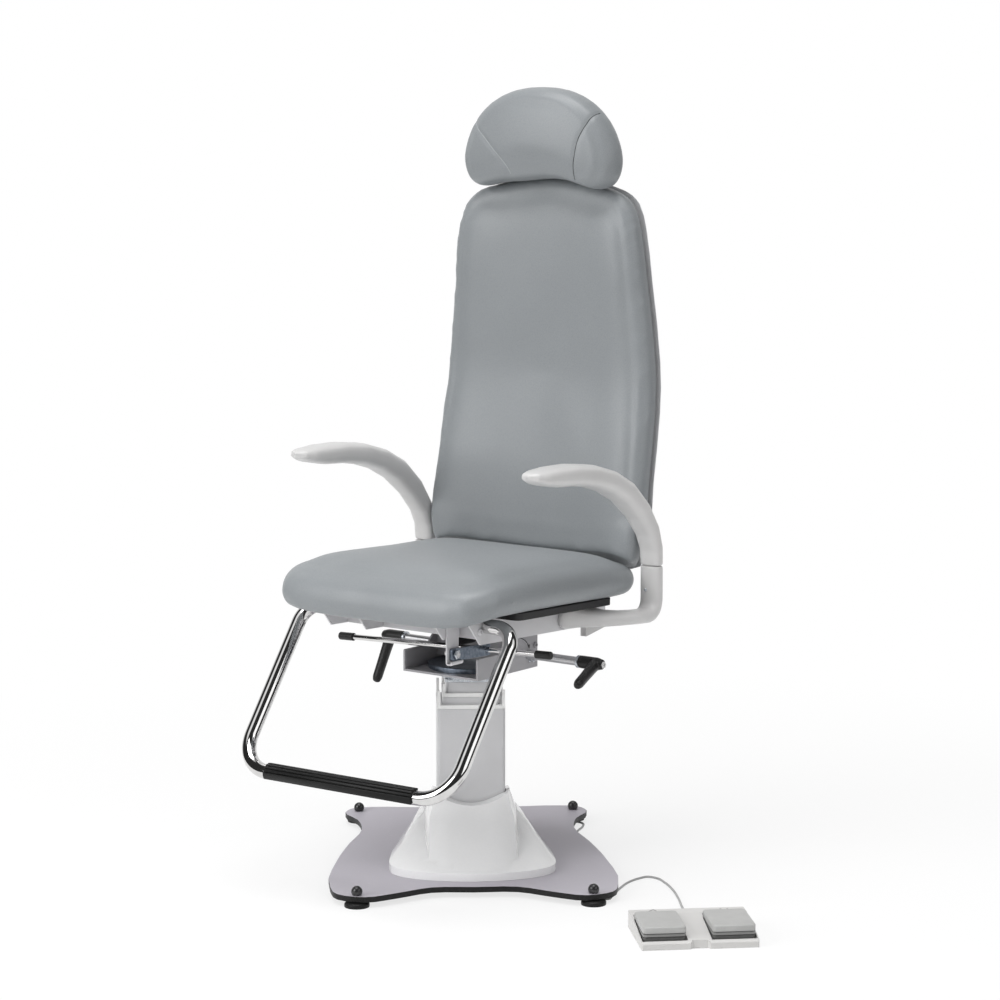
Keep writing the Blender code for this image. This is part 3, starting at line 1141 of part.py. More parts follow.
# Foot control: a wedge housing with two bays, and a stepped pedal in each
half_depth = PEDAL_DEPTH / 2
half_width = PEDAL_WIDTH / 2
side_view = ((-half_depth, 0), (half_depth, 0), (half_depth, PEDAL_HEIGHT - PEDAL_EDGE),
             (half_depth - PEDAL_EDGE, PEDAL_HEIGHT), (half_depth - PEDAL_RIM_DEPTH, PEDAL_HEIGHT),
             (-half_depth + PEDAL_EDGE, PEDAL_FRONT_HEIGHT), (-half_depth, PEDAL_FRONT_HEIGHT - PEDAL_EDGE))
wedge = prism(side_view, -half_width - OVERCUT, half_width + OVERCUT, "X")
housing = finish("pedal_housing", wedge, pedal_grey, control)
bridge = PEDAL_BRIDGE / 2
front_line = -half_depth - OVERLAP / 2
rear_line = half_depth + OVERLAP / 2
recess_line = front_line + PEDAL_RECESS
plan_view = rounded(((-half_width, front_line), (-bridge, front_line), (-bridge + PEDAL_EDGE, recess_line),
                     (bridge - PEDAL_EDGE, recess_line), (bridge, front_line), (half_width, front_line),
                     (half_width, rear_line), (-half_width, rear_line)), PEDAL_CORNER, 3)
plan_prism = prism(plan_view, -OVERCUT, PEDAL_HEIGHT + OVERCUT)
combine(housing, tool("pedal_plan", plan_prism, control), "INTERSECT")
bay_rear = half_depth - PEDAL_RIM_DEPTH - PAD_INSET
bay_front = -half_depth + BAY_WALL
bay_neck = bay_rear - BAY_NECK
bay_top = PEDAL_HEIGHT + OVERCUT
pedal_hinge_y = bay_rear - PEDAL_HINGE_BACK
pad_rear = bay_rear - PAD_INSET
second_step = PAD_LOW + PAD_STEP
third_step = second_step + PAD_STEP
pad_layers = ((PAD_LOW, 2), (second_step, 2), (second_step, 1), (third_step, 1), (third_step, 0),
              (PAD_TOP - PAD_BEVEL, 0), (PAD_TOP, 0.75))
for side, word in ((-1, "up"), (1, "down")):
    middle = side * (half_width - BAY_SIDE - BAY_WIDTH / 2)
    bay = box((middle - BAY_WIDTH / 2, bay_front, BAY_FLOOR), (middle + BAY_WIDTH / 2, bay_neck, bay_top))
    combine(housing, tool("bay_" + word, bay, control), "DIFFERENCE")
    neck = PAD_WIDTH / 2 + PAD_SIDE_GAP
    neck_box = box((middle - neck, bay_neck - OVERLAP, BAY_FLOOR), (middle + neck, bay_rear, bay_top))
    combine(housing, tool("bay_neck_" + word, neck_box, control), "DIFFERENCE")
    rings = []
    for z, steps in pad_layers:
        side_in = steps * PAD_INSET * (0.1 if steps >= 1 else 1.0)
        right = PAD_WIDTH / 2 - side_in
        front = pad_rear - PAD_LENGTH + steps * PAD_INSET
        rear = pad_rear - 0.1 * steps * PAD_INSET
        loop = rounded(((-right, front), (right, front), (right, rear), (-right, rear)), PAD_CORNER, 3)
        rings.append([Vector((x, y - pedal_hinge_y, z - PEDAL_HINGE_Z)) for x, y in loop])
    pad = finish("pedal_" + word, skin(rings), pad_grey, control)
    pad.location = (middle, pedal_hinge_y, PEDAL_HINGE_Z)

# Strain relief on the housing, gland under the plate, and the cord between them
relief_root = half_depth - RELIEF_ROOT
relief_tip = half_depth + RELIEF_LENGTH
relief = ((0, relief_root), (RELIEF_RADIUS, relief_root), (RELIEF_RADIUS, half_depth + PEDAL_EDGE),
          (RELIEF_TIP, relief_tip), (0, relief_tip))
relief_shape = turned(relief, (CORD_EXIT_X, 0, CORD_EXIT_Z), "Y", 16)
combine(housing, tool("pedal_relief", relief_shape, control), "UNION")
gland_left = GLAND_X - GLAND_HALF
gland_right = GLAND_X + GLAND_HALF
gland_front = GLAND_Y - GLAND_LENGTH
gland_rear = GLAND_Y + GLAND_LENGTH
gland = rounded(((gland_left, gland_front), (gland_right, gland_front), (gland_right, gland_rear),
                 (gland_left, gland_rear)), GLAND_HALF / 4, 2)
finish("cord_gland", prism(gland, GLAND_LOW, PLATE_LIFT - GAP), lever_black, base)


def from_control(x, y, z):
    return Vector((PEDAL_X + x * cos(PEDAL_TURN) - y * sin(PEDAL_TURN),
                   PEDAL_Y + x * sin(PEDAL_TURN) + y * cos(PEDAL_TURN), z))


exit_y = half_depth + RELIEF_LENGTH + RUN
route = [from_control(CORD_EXIT_X, exit_y, CORD_EXIT_Z), from_control(CORD_EXIT_X, exit_y + 0.012, 0.0105),
         from_control(CORD_EXIT_X + 0.001, exit_y + 0.034, 0.0038)]
route += [Vector((x, y, CORD_RADIUS + CORD_REST)) for x, y in CORD_ROUTE]
route.append(Vector((GLAND_X + 0.030, GLAND_Y + 0.036, CORD_RADIUS + CORD_REST)))
gland_middle = (GLAND_LOW + PLATE_LIFT - GAP) / 2
route.append(Vector((gland_right + CORD_RADIUS, GLAND_Y + 0.6 * GLAND_LENGTH, gland_middle)))
bent_tube("pedal_cord", spline(route, 2), CORD_RADIUS, cord_grey, base, 2)
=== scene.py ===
import json
from math import cos, pi, radians, sin

import bmesh
import bpy
import numpy as np
from mathutils import Matrix, Vector
from mathutils.bvhtree import BVHTree

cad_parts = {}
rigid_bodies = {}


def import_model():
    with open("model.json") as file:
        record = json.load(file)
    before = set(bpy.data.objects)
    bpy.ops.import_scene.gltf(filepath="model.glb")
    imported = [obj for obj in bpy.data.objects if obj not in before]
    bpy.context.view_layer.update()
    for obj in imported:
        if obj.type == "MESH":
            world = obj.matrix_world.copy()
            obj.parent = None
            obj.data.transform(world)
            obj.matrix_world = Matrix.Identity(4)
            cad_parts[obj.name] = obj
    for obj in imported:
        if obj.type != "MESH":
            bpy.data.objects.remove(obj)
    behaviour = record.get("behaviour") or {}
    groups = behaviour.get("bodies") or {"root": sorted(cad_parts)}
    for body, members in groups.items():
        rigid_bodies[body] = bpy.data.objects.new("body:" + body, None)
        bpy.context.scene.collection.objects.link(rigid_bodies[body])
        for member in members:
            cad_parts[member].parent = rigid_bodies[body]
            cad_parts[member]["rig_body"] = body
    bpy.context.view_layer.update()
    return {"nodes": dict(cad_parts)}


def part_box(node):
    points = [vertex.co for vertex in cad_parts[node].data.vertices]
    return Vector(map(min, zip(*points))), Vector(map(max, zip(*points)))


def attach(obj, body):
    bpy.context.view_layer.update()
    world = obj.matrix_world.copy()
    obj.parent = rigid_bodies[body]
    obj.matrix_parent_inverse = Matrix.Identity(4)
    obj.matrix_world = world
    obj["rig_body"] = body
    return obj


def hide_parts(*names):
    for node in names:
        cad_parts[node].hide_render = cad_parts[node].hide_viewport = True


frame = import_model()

scene = bpy.context.scene
scene.view_settings.view_transform = "Standard"
nodes = frame["nodes"]

# the chair's own frame stands on the lifting column, the base is turned under it
placeSet = {"column": (-0.177, -0.002, 0), "baseTurn": 39.0}
chairFrame = Matrix.Translation(placeSet["column"])
baseFrame = chairFrame @ Matrix.Rotation(radians(placeSet["baseTurn"]), 4, "Z")

# camera at the photo's angle
cameraSet = {"place": (3.3913, -4.6569, 1.488), "turn": 36.95, "tilt": 8.02, "lens": 119.2, "sensor": 36.0}
turn, tilt = radians(cameraSet["turn"]), radians(cameraSet["tilt"])
look = Vector((-sin(turn) * cos(tilt), cos(turn) * cos(tilt), -sin(tilt)))
camera = bpy.data.objects.new("camera", bpy.data.cameras.new("camera"))
camera.location = cameraSet["place"]
camera.rotation_euler = look.to_track_quat("-Z", "Y").to_euler()
camera.data.lens = cameraSet["lens"]
camera.data.sensor_width = cameraSet["sensor"]
scene.collection.objects.link(camera)
scene.camera = camera
print("camera placed")


# shader kit: sums on wires become Math nodes
class Wire:
    def __init__(self, finish, socket):
        self.finish, self.socket = finish, socket

    def maths(self, kind, first, second):
        return self.finish.node("ShaderNodeMath", {"operation": kind}, {0: first, 1: second})

    def __add__(self, other):
        return self.maths("ADD", self, other)

    def __radd__(self, other):
        return self.maths("ADD", other, self)

    def __sub__(self, other):
        return self.maths("SUBTRACT", self, other)

    def __rsub__(self, other):
        return self.maths("SUBTRACT", other, self)

    def __mul__(self, other):
        return self.maths("MULTIPLY", self, other)

    def __rmul__(self, other):
        return self.maths("MULTIPLY", other, self)


class Finish:
    def __init__(self, name, owner=None):
        self.owner = owner or bpy.data.materials.new(name)
        self.owner.use_nodes = True
        self.tree = self.owner.node_tree
        self.tree.nodes.clear()

    def node(self, kind, settings, sockets, out=0):
        made = self.tree.nodes.new(kind)
        for key, value in settings.items():
            if key == "stops":  # (place, grey) pairs of a ramp
                ramp = made.color_ramp
                while len(ramp.elements) < len(value):
                    ramp.elements.new(0.5)
                for stop, (place, grey) in zip(ramp.elements, value):
                    stop.position, stop.color = place, (grey, grey, grey, 1)
            else:
                setattr(made, key, value)
        for key, value in sockets.items():
            if isinstance(value, Wire):
                self.tree.links.new(value.socket, made.inputs[key])
            else:
                made.inputs[key].default_value = value
        return Wire(self, made.outputs[out]) if made.outputs else made

    def place(self, stretch=(1, 1, 1)):
        spot = self.node("ShaderNodeTexCoord", {}, {}, "Object")
        if stretch == (1, 1, 1):
            return spot
        return self.node("ShaderNodeVectorMath", {"operation": "MULTIPLY"}, {0: spot, 1: stretch})

    def noise(self, scale, detail, stretch=(1, 1, 1)):
        return self.node("ShaderNodeTexNoise", {}, {"Vector": self.place(stretch), "Scale": scale, "Detail": detail})

    def cells(self, scale):
        return self.node("ShaderNodeTexVoronoi", {}, {"Vector": self.place(), "Scale": scale}, "Distance")

    def ramp(self, value, *stops):
        return self.node("ShaderNodeValToRGB", {"stops": stops}, {"Fac": value})

    def mix(self, mask, first, second):
        first, second = (c if isinstance(c, Wire) else (*c, 1.0) for c in (first, second))
        return self.node("ShaderNodeMix", {"data_type": "RGBA"}, {0: mask, 6: first, 7: second}, 2)

    def edges(self, radius):  # 1 on rounded edges, 0 on flats
        worn = self.node("ShaderNodeBevel", {"samples": 4}, {"Radius": radius})
        flat = self.node("ShaderNodeNewGeometry", {}, {}, "Normal")
        same = self.node("ShaderNodeVectorMath", {"operation": "DOT_PRODUCT"}, {0: worn, 1: flat}, "Value")
        return self.ramp(same, (0.80, 1.0), (0.985, 0.0))

    def bump(self, height, depth, strength):
        return self.node("ShaderNodeBump", {}, {"Strength": strength, "Distance": depth, "Height": height})

    def surface(self, sockets):
        shader = self.node("ShaderNodeBsdfPrincipled", {}, sockets)
        self.node("ShaderNodeOutputMaterial", {}, {"Surface": shader})
        return self.owner


# finishes
leatherSet = {"light": (0.282, 0.300, 0.313), "dark": (0.268, 0.285, 0.298), "crease": (0.19, 0.205, 0.216),
              "grain": 720.0, "depth": 0.00020, "rough": 0.32}


def leatherFinish():
    f = Finish("greyLeatherette")
    pebbles = f.cells(leatherSet["grain"])
    pores = f.ramp(pebbles, (0.25, 0.0), (0.72, 1.0))
    mottle = f.noise(9.0, 4.0)
    tone = f.mix(f.ramp(mottle, (0.30, 0.0), (0.72, 1.0)), leatherSet["dark"], leatherSet["light"])
    tone = f.mix(pores * 0.35, tone, leatherSet["crease"])
    height = pebbles * -0.7 + f.noise(2400.0, 2.0) * 0.25 + f.noise(60.0, 3.0) * 0.8
    return f.surface({"Base Color": tone, "Roughness": mottle * 0.12 + (pores * 0.10 + leatherSet["rough"]),
                      "Specular IOR Level": 0.58, "Sheen Weight": 0.04, "Sheen Roughness": 0.45,
                      "Normal": f.bump(height, leatherSet["depth"], 0.55)})


plateSet = {"top": (0.515, 0.492, 0.540), "topDark": (0.475, 0.453, 0.500), "edge": (0.006, 0.006, 0.006),
            "edgeWorn": (0.016, 0.016, 0.017), "worn": (0.60, 0.58, 0.62), "rough": 0.46}


def plateFinish():
    f = Finish("plateLilacGrey")
    facing = f.node("ShaderNodeSeparateXYZ", {}, {0: f.node("ShaderNodeNewGeometry", {}, {}, "Normal")}, "Z")
    top = f.ramp(facing, (0.55, 0.0), (0.75, 1.0))
    speck = f.noise(850.0, 3.0)
    brushed = f.noise(40.0, 4.0, (1.0, 9.0, 1.0))
    paint = f.mix(f.ramp(speck * 0.75 + brushed * 0.25, (0.30, 0.0), (0.70, 1.0)), plateSet["topDark"], plateSet["top"])
    scuffs = f.ramp(f.noise(120.0, 6.0), (0.66, 0.0), (0.72, 1.0))
    paint = f.mix(scuffs * 0.35, paint, plateSet["worn"])
    rim = f.mix(f.ramp(f.noise(300.0, 4.0), (0.45, 0.0), (0.75, 1.0)), plateSet["edge"], plateSet["edgeWorn"])
    return f.surface({"Base Color": f.mix(top, rim, paint), "Roughness": speck * 0.16 + (plateSet["rough"] - 0.06),
                      "Specular IOR Level": 0.3, "Normal": f.bump(speck, 0.00012, 0.5)})


# painted steel and moulded plastic: two tones, fine texture, wear along the edges
paintSets = {
    "frameGrey": {"light": (0.66, 0.655, 0.67), "dark": (0.62, 0.615, 0.63), "worn": (0.72, 0.72, 0.73),
                  "rough": 0.36, "fine": 1100.0, "depth": 0.00006, "edge": 0.0012, "coat": 0.10},
    # the bracket: the frame's grey paint made darker, painted shade under the seat and inside the channel
    "bracketGrey": {"light": (0.38, 0.375, 0.39), "dark": (0.345, 0.34, 0.355), "worn": (0.56, 0.56, 0.57),
                    "rough": 0.38, "fine": 1100.0, "depth": 0.00006, "edge": 0.0012, "coat": 0.08},
    "columnGrey": {"light": (0.60, 0.60, 0.61), "dark": (0.545, 0.545, 0.555), "worn": (0.70, 0.70, 0.71),
                   "rough": 0.34, "fine": 900.0, "depth": 0.00005, "edge": 0.0012, "coat": 0.12},
    "shellWhite": {"light": (0.90, 0.90, 0.902), "dark": (0.865, 0.865, 0.868), "worn": (0.92, 0.92, 0.92),
                   "rough": 0.16, "fine": 260.0, "depth": 0.00003, "edge": 0.0015, "coat": 0.35},
    "glideWhite": {"light": (0.85, 0.85, 0.84), "dark": (0.78, 0.78, 0.77), "worn": (0.66, 0.66, 0.65),
                   "rough": 0.42, "fine": 700.0, "depth": 0.00005, "edge": 0.0006, "coat": 0.0},
    "armGrey": {"light": (0.64, 0.635, 0.632), "dark": (0.60, 0.595, 0.592), "worn": (0.68, 0.68, 0.68),
                "rough": 0.36, "fine": 1300.0, "depth": 0.00008, "edge": 0.0010, "coat": 0.06},
    "backShell": {"light": (0.70, 0.70, 0.71), "dark": (0.65, 0.65, 0.66), "worn": (0.75, 0.75, 0.75),
                  "rough": 0.38, "fine": 900.0, "depth": 0.00008, "edge": 0.0015, "coat": 0.05},
    "boardBlack": {"light": (0.030, 0.030, 0.031), "dark": (0.015, 0.015, 0.016), "worn": (0.07, 0.07, 0.07),
                   "rough": 0.62, "fine": 500.0, "depth": 0.00015, "edge": 0.0010, "coat": 0.0},
    "leverBlack": {"light": (0.022, 0.021, 0.021), "dark": (0.012, 0.012, 0.012), "worn": (0.055, 0.055, 0.055),
                   "rough": 0.38, "fine": 1600.0, "depth": 0.00010, "edge": 0.0008, "coat": 0.0, "gloss": 0.35},
    "knobBlack": {"light": (0.026, 0.025, 0.027), "dark": (0.014, 0.014, 0.015), "worn": (0.05, 0.05, 0.05),
                  "rough": 0.26, "fine": 1500.0, "depth": 0.00005, "edge": 0.0006, "coat": 0.15},
    "rubberBlack": {"light": (0.015, 0.015, 0.015), "dark": (0.008, 0.008, 0.008), "worn": (0.035, 0.035, 0.035),
                    "rough": 0.44, "fine": 800.0, "depth": 0.00012, "edge": 0.0008, "coat": 0.0, "gloss": 0.22},
    "pedalShell": {"light": (0.62, 0.613, 0.602), "dark": (0.58, 0.573, 0.562), "worn": (0.69, 0.69, 0.68),
                   "rough": 0.40, "fine": 1500.0, "depth": 0.00010, "edge": 0.0008, "coat": 0.0},
    "cordGrey": {"light": (0.40, 0.40, 0.40), "dark": (0.33, 0.33, 0.33), "worn": (0.45, 0.45, 0.45),
                 "rough": 0.48, "fine": 1800.0, "depth": 0.00008, "edge": 0.0003, "coat": 0.0},
    "markDark": {"light": (0.060, 0.058, 0.060), "dark": (0.035, 0.034, 0.035), "worn": (0.10, 0.10, 0.10),
                 "rough": 0.5, "fine": 2000.0, "depth": 0.00003, "edge": 0.0002, "coat": 0.0},
    "markGrey": {"light": (0.30, 0.30, 0.30), "dark": (0.25, 0.25, 0.25), "worn": (0.36, 0.36, 0.36),
                 "rough": 0.5, "fine": 2000.0, "depth": 0.00003, "edge": 0.0002, "coat": 0.0},
    # one seam thread in two copies: dark with painted shade, light with painted highlight
    "seamShade": {"light": (0.050, 0.053, 0.057), "dark": (0.030, 0.032, 0.035), "worn": (0.08, 0.085, 0.09),
                   "rough": 0.62, "fine": 2600.0, "depth": 0.00010, "edge": 0.0003, "coat": 0.0},
    "seamHighlight": {"light": (0.43, 0.45, 0.465), "dark": (0.37, 0.39, 0.405), "worn": (0.50, 0.52, 0.53),
                    "rough": 0.55, "fine": 2600.0, "depth": 0.00010, "edge": 0.0003, "coat": 0.0},
}


def paintFinish(name):
    s = paintSets[name]
    f = Finish(name)
    fine = f.noise(s["fine"], 2.0)
    drift = f.noise(11.0, 4.0)
    tone = f.mix(f.ramp(drift * 0.65 + fine * 0.35, (0.36, 0.0), (0.64, 1.0)), s["dark"], s["light"])
    rubbed = f.edges(s["edge"]) * f.ramp(f.noise(90.0, 4.0), (0.42, 0.0), (0.62, 1.0))
    tone = f.mix(rubbed * 0.6, tone, s["worn"])
    return f.surface({"Base Color": tone, "Roughness": drift * 0.10 + (fine * 0.06 + (s["rough"] - 0.08)),
                      "Coat Weight": s["coat"], "Coat Roughness": 0.12, "Specular IOR Level": s.get("gloss", 0.5),
                      "Normal": f.bump(fine, s["depth"], 0.45)})


# pedal pad: grooves and lower layers drawn darker by height, painted shade; low is the colour of that painted shade
padSet = {"low": (0.045, 0.045, 0.044), "cap": (0.40, 0.40, 0.393), "capLight": (0.45, 0.45, 0.442), "rough": 0.44,
          "bands": ((0.0120, 0.16), (0.0128, 0.36), (0.0172, 0.40), (0.0179, 0.02), (0.0186, 0.02), (0.0193, 0.60),
                    (0.0234, 0.64), (0.0240, 0.02), (0.0247, 0.02), (0.0255, 0.86), (0.0290, 1.0))}


def padFinish():
    f = Finish("pedalPad")
    height = f.node("ShaderNodeSeparateXYZ", {}, {0: f.place()}, "Z")
    bands = f.ramp(height * 25.0, *((z * 25.0, grey) for z, grey in padSet["bands"]))  # painted shade: the grooves between the layers and the lower layers drawn darker
    fine = f.noise(1500.0, 2.0)
    drift = f.noise(40.0, 4.0)
    rubber = f.mix(f.ramp(drift * 0.6 + fine * 0.4, (0.38, 0.0), (0.62, 1.0)), padSet["cap"], padSet["capLight"])
    scuff = f.ramp(f.noise(160.0, 5.0), (0.62, 0.0), (0.72, 1.0))
    return f.surface({"Base Color": f.mix(bands - scuff * 0.08, padSet["low"], rubber),
                      "Roughness": drift * 0.12 + (fine * 0.06 + (padSet["rough"] - 0.08)),
                      "Normal": f.bump(bands * 0.9 + fine * 0.1, 0.0009, 0.6)})


metalSets = {
    "chrome": {"light": (0.72, 0.715, 0.71), "dark": (0.65, 0.645, 0.64), "rough": 0.05, "smear": 0.05,
               "stretch": (1, 1, 1), "scale": 60.0, "depth": 0.00001},
    "zinc": {"light": (0.66, 0.69, 0.72), "dark": (0.50, 0.53, 0.57), "rough": 0.26, "smear": 0.18,
             "stretch": (1, 1, 1), "scale": 240.0, "depth": 0.00004},
    "zincDark": {"light": (0.27, 0.31, 0.37), "dark": (0.15, 0.18, 0.225), "rough": 0.30, "smear": 0.16,
                 "stretch": (1, 1, 1), "scale": 180.0, "depth": 0.00004},
    "clampTube": {"light": (0.70, 0.70, 0.71), "dark": (0.60, 0.60, 0.61), "rough": 0.30, "smear": 0.14,
                  "stretch": (14, 1, 1), "scale": 120.0, "depth": 0.00002},
}


def metalFinish(name):
    s = metalSets[name]
    f = Finish(name)
    cloud = f.noise(s["scale"], 5.0, s["stretch"])
    fine = f.noise(1900.0, 2.0)
    tone = f.mix(f.ramp(cloud, (0.32, 0.0), (0.68, 1.0)), s["dark"], s["light"])
    smudge = f.ramp(f.noise(26.0, 5.0), (0.46, 0.0), (0.80, 1.0))
    return f.surface({"Base Color": tone, "Metallic": 1.0,
                      "Roughness": smudge * s["smear"] + (cloud * 0.04 + (s["rough"] - 0.02)),
                      "Normal": f.bump(fine + cloud, s["depth"], 0.3)})


finishes = {"leather": leatherFinish(), "plate": plateFinish(), "pedalPad": padFinish()}
finishes.update({name: paintFinish(name) for name in paintSets})
finishes.update({name: metalFinish(name) for name in metalSets})
print("finishes made:", len(finishes))


# pieces
def dress(piece, body, finish, slot, *hidden):
    piece.data.materials.clear()
    piece.data.materials.append(finishes[finish])
    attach(piece, body)
    if hidden:
        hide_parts(*hidden)
    return piece


def pieceOf(name, bm, place=None):  # a mesh piece, its points taken to world metres
    if place:
        bmesh.ops.transform(bm, matrix=place, verts=bm.verts)
    bmesh.ops.recalc_face_normals(bm, faces=bm.faces)
    mesh = bpy.data.meshes.new(name)
    bm.to_mesh(mesh)
    bm.free()
    piece = bpy.data.objects.new(name, mesh)
    scene.collection.objects.link(piece)
    return piece


def shade(piece, crease):  # smooth, with sharp edges where faces turn by more than crease
    bm = bmesh.new()
    bm.from_mesh(piece.data)
    for face in bm.faces:
        face.smooth = True
    for edge in bm.edges:
        edge.smooth = edge.calc_face_angle(pi) < radians(crease)
    bm.to_mesh(piece.data)
    bm.free()
    return piece


def settle(piece, *modifiers):  # modifiers worked into the mesh
    for kind, values in modifiers:
        step = piece.modifiers.new(kind.lower(), kind)
        for key, value in values.items():
            setattr(step, key, value)
    result = bpy.data.meshes.new_from_object(piece.evaluated_get(bpy.context.evaluated_depsgraph_get()))
    piece.modifiers.clear()
    piece.data = result
    return piece


def readRows(items, key):
    flat = np.empty(3 * len(items), np.float32)
    items.foreach_get(key, flat)
    return flat.reshape(-1, 3).astype(float)


def readPoints(mesh):
    return readRows(mesh.vertices, "co")


def readNormals(mesh):
    return readRows(mesh.vertex_normals, "vector")


def writePoints(mesh, points):
    mesh.vertices.foreach_set("co", np.asarray(points, np.float32).ravel())
    mesh.update()


def fitTo(piece, node):  # stretched back to the box of the solid it stands for
    low, high = (np.array(c, float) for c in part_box(node))
    points = readPoints(piece.data)
    mineLow, mineHigh = points.min(0), points.max(0)
    writePoints(piece.data, low + (points - mineLow) * (high - low) / (mineHigh - mineLow))
    return piece


def keepNear(piece, node, front, rim, middle):  # held close to the solid, closer at the rim than on its front
    bm = bmesh.new()
    bm.from_mesh(nodes[node].data)
    tree = BVHTree.FromBMesh(bm)
    bm.free()
    points = [Vector(p) for p in readPoints(piece.data)]
    for k, point in enumerate(points):
        spot, normal, face, away = tree.find_nearest(point)
        reach = rim + (middle - rim) * max(0.0, normal.dot(front)) ** 4
        if away > reach:
            points[k] = spot + (point - spot) * (reach / away)
    writePoints(piece.data, points)


def relax(piece, passes, held=(), factors=(0.5,)):  # evens out a mesh, but for the points that are held
    bm = bmesh.new()
    bm.from_mesh(piece.data)
    held = set(held)
    free = [v for v in bm.verts if v.index not in held]
    for k in range(passes):
        for factor in factors:
            bmesh.ops.smooth_vert(bm, verts=free, factor=factor, use_axis_x=True, use_axis_y=True, use_axis_z=True)
    bm.to_mesh(piece.data)
    bm.free()


solidSet = {"join": 0.00002, "flat": 0.8, "crease": 32.0, "soft": 60.0}


def camel(node):  # seat_board becomes seatBoard
    first, *others = node.split("_")
    return first + "".join(word.title() for word in others)


def solidOf(node):  # a node's mesh with its split corners joined
    bm = bmesh.new()
    bm.from_mesh(nodes[node].data)
    bmesh.ops.remove_doubles(bm, verts=bm.verts, dist=solidSet["join"])
    return bm


def copyOf(node):  # a node's shape with its flat facets made one
    bm = solidOf(node)
    bmesh.ops.dissolve_limit(bm, angle_limit=radians(solidSet["flat"]), verts=bm.verts, edges=bm.edges)
    return pieceOf(camel(node), bm)


def voxelled(node, name, size):  # a node's shape in even small faces
    return settle(pieceOf(name, solidOf(node)), ("REMESH", {"mode": "VOXEL", "voxel_size": size}))


def rounding(width, segments, crease):
    return ("BEVEL", {"width": width, "segments": segments, "limit_method": "ANGLE",
                      "angle_limit": radians(crease), "use_clamp_overlap": True})


def edged(node, finish, slot, width, crease=solidSet["crease"], segments=2):  # a node with its edges rounded
    piece = settle(shade(copyOf(node), 180.0), rounding(width, segments, crease),
                   ("WEIGHTED_NORMAL", {"weight": 50, "keep_sharp": True}))
    return dress(piece, nodes[node]["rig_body"], finish, slot, node)


def melted(node, finish, slot, voxel, passes, name=None):  # a node with its facets flowed together
    piece = voxelled(node, name or camel(node), voxel)
    relax(piece, passes)
    shade(fitTo(piece, node), solidSet["soft"])
    return dress(piece, nodes[node]["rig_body"], finish, slot, node)


def bridged(bm, rings):  # rings of points joined by faces, with a face at each end
    for low, high in zip(rings, rings[1:]):
        for k in range(len(low)):
            near = (k + 1) % len(low)
            bm.faces.new((low[k], low[near], high[near], high[k]))
    bm.faces.new(list(reversed(rings[0])))
    bm.faces.new(rings[-1])


# hermite curve through points, the same as the solids' routes use
def smoothLine(points, steps):
    pts = [Vector(p) for p in points]
    spans = [(b - a).length for a, b in zip(pts, pts[1:])]
    slopes = [(pts[1] - pts[0]) / spans[0]]
    for i in range(1, len(pts) - 1):
        behind = (pts[i] - pts[i - 1]) / spans[i - 1]
        ahead = (pts[i + 1] - pts[i]) / spans[i]
        slopes.append((behind * spans[i] + ahead * spans[i - 1]) / (spans[i] + spans[i - 1]))
    slopes.append((pts[-1] - pts[-2]) / spans[-1])
    line = []
    for i, span in enumerate(spans):
        for k in range(steps):
            t = k / steps
            line.append(pts[i] * (2 * t ** 3 - 3 * t ** 2 + 1) + slopes[i] * span * (t ** 3 - 2 * t ** 2 + t)
                        + pts[i + 1] * (3 * t ** 2 - 2 * t ** 3) + slopes[i + 1] * span * (t ** 3 - t ** 2))
    return line + [pts[-1]]


def tubeAlong(name, points, radius, sides):  # a round curve, its points in world metres
    curve = bpy.data.curves.new(name, "CURVE")
    curve.dimensions = "3D"
    curve.bevel_depth = radius
    curve.bevel_resolution = sides
    curve.use_fill_caps = True
    line = curve.splines.new("POLY")
    line.points.add(len(points) - 1)
    for point, place in zip(line.points, points):
        point.co = (*place, 1.0)
    line.use_smooth = True
    piece = bpy.data.objects.new(name, curve)
    scene.collection.objects.link(piece)
    return piece


# the foot control's lead, from its relief over the floor to the gland under the plate
cordSet = {"diameter": 0.004, "length": 1.273, "lay": "loose", "stiffness": "medium", "route": [
    (0.3377, -0.4334, 0.0120), (0.3367, -0.4214, 0.0105), (0.3360, -0.3994, 0.0038), (0.3500, -0.3850, 0.0025),
    (0.3535, -0.3300, 0.0025), (0.3525, -0.2800, 0.0025), (0.3470, -0.2200, 0.0025), (0.3380, -0.1770, 0.0025),
    (0.3250, -0.1450, 0.0025), (0.3110, -0.1365, 0.0025), (0.2970, -0.1460, 0.0025), (0.2770, -0.1700, 0.0025),
    (0.2570, -0.2140, 0.0025), (0.2390, -0.2680, 0.0025), (0.2310, -0.2870, 0.0025), (0.2190, -0.2840, 0.0025),
    (0.2040, -0.2620, 0.0025), (0.1880, -0.2150, 0.0025), (0.1780, -0.1200, 0.0025), (0.1800, 0.0000, 0.0025),
    (0.1880, 0.1100, 0.0025), (0.1990, 0.1800, 0.0025), (0.2090, 0.2140, 0.0025), (0.2195, 0.2460, 0.0025),
    (0.2205, 0.2680, 0.0025), (0.2110, 0.2810, 0.0025), (0.1930, 0.2700, 0.0025), (0.1600, 0.2050, 0.0025),
    (0.1300, 0.1560, 0.0025), (0.1100, 0.1260, 0.0055)]}
cordLine = [baseFrame @ p for p in smoothLine(cordSet["route"], 4)]
controlLead = tubeAlong("controlLead", cordLine, cordSet["diameter"] / 2, 4)
dress(controlLead, "base", "cordGrey", "cord_grey", "pedal_cord")
print("lead laid")


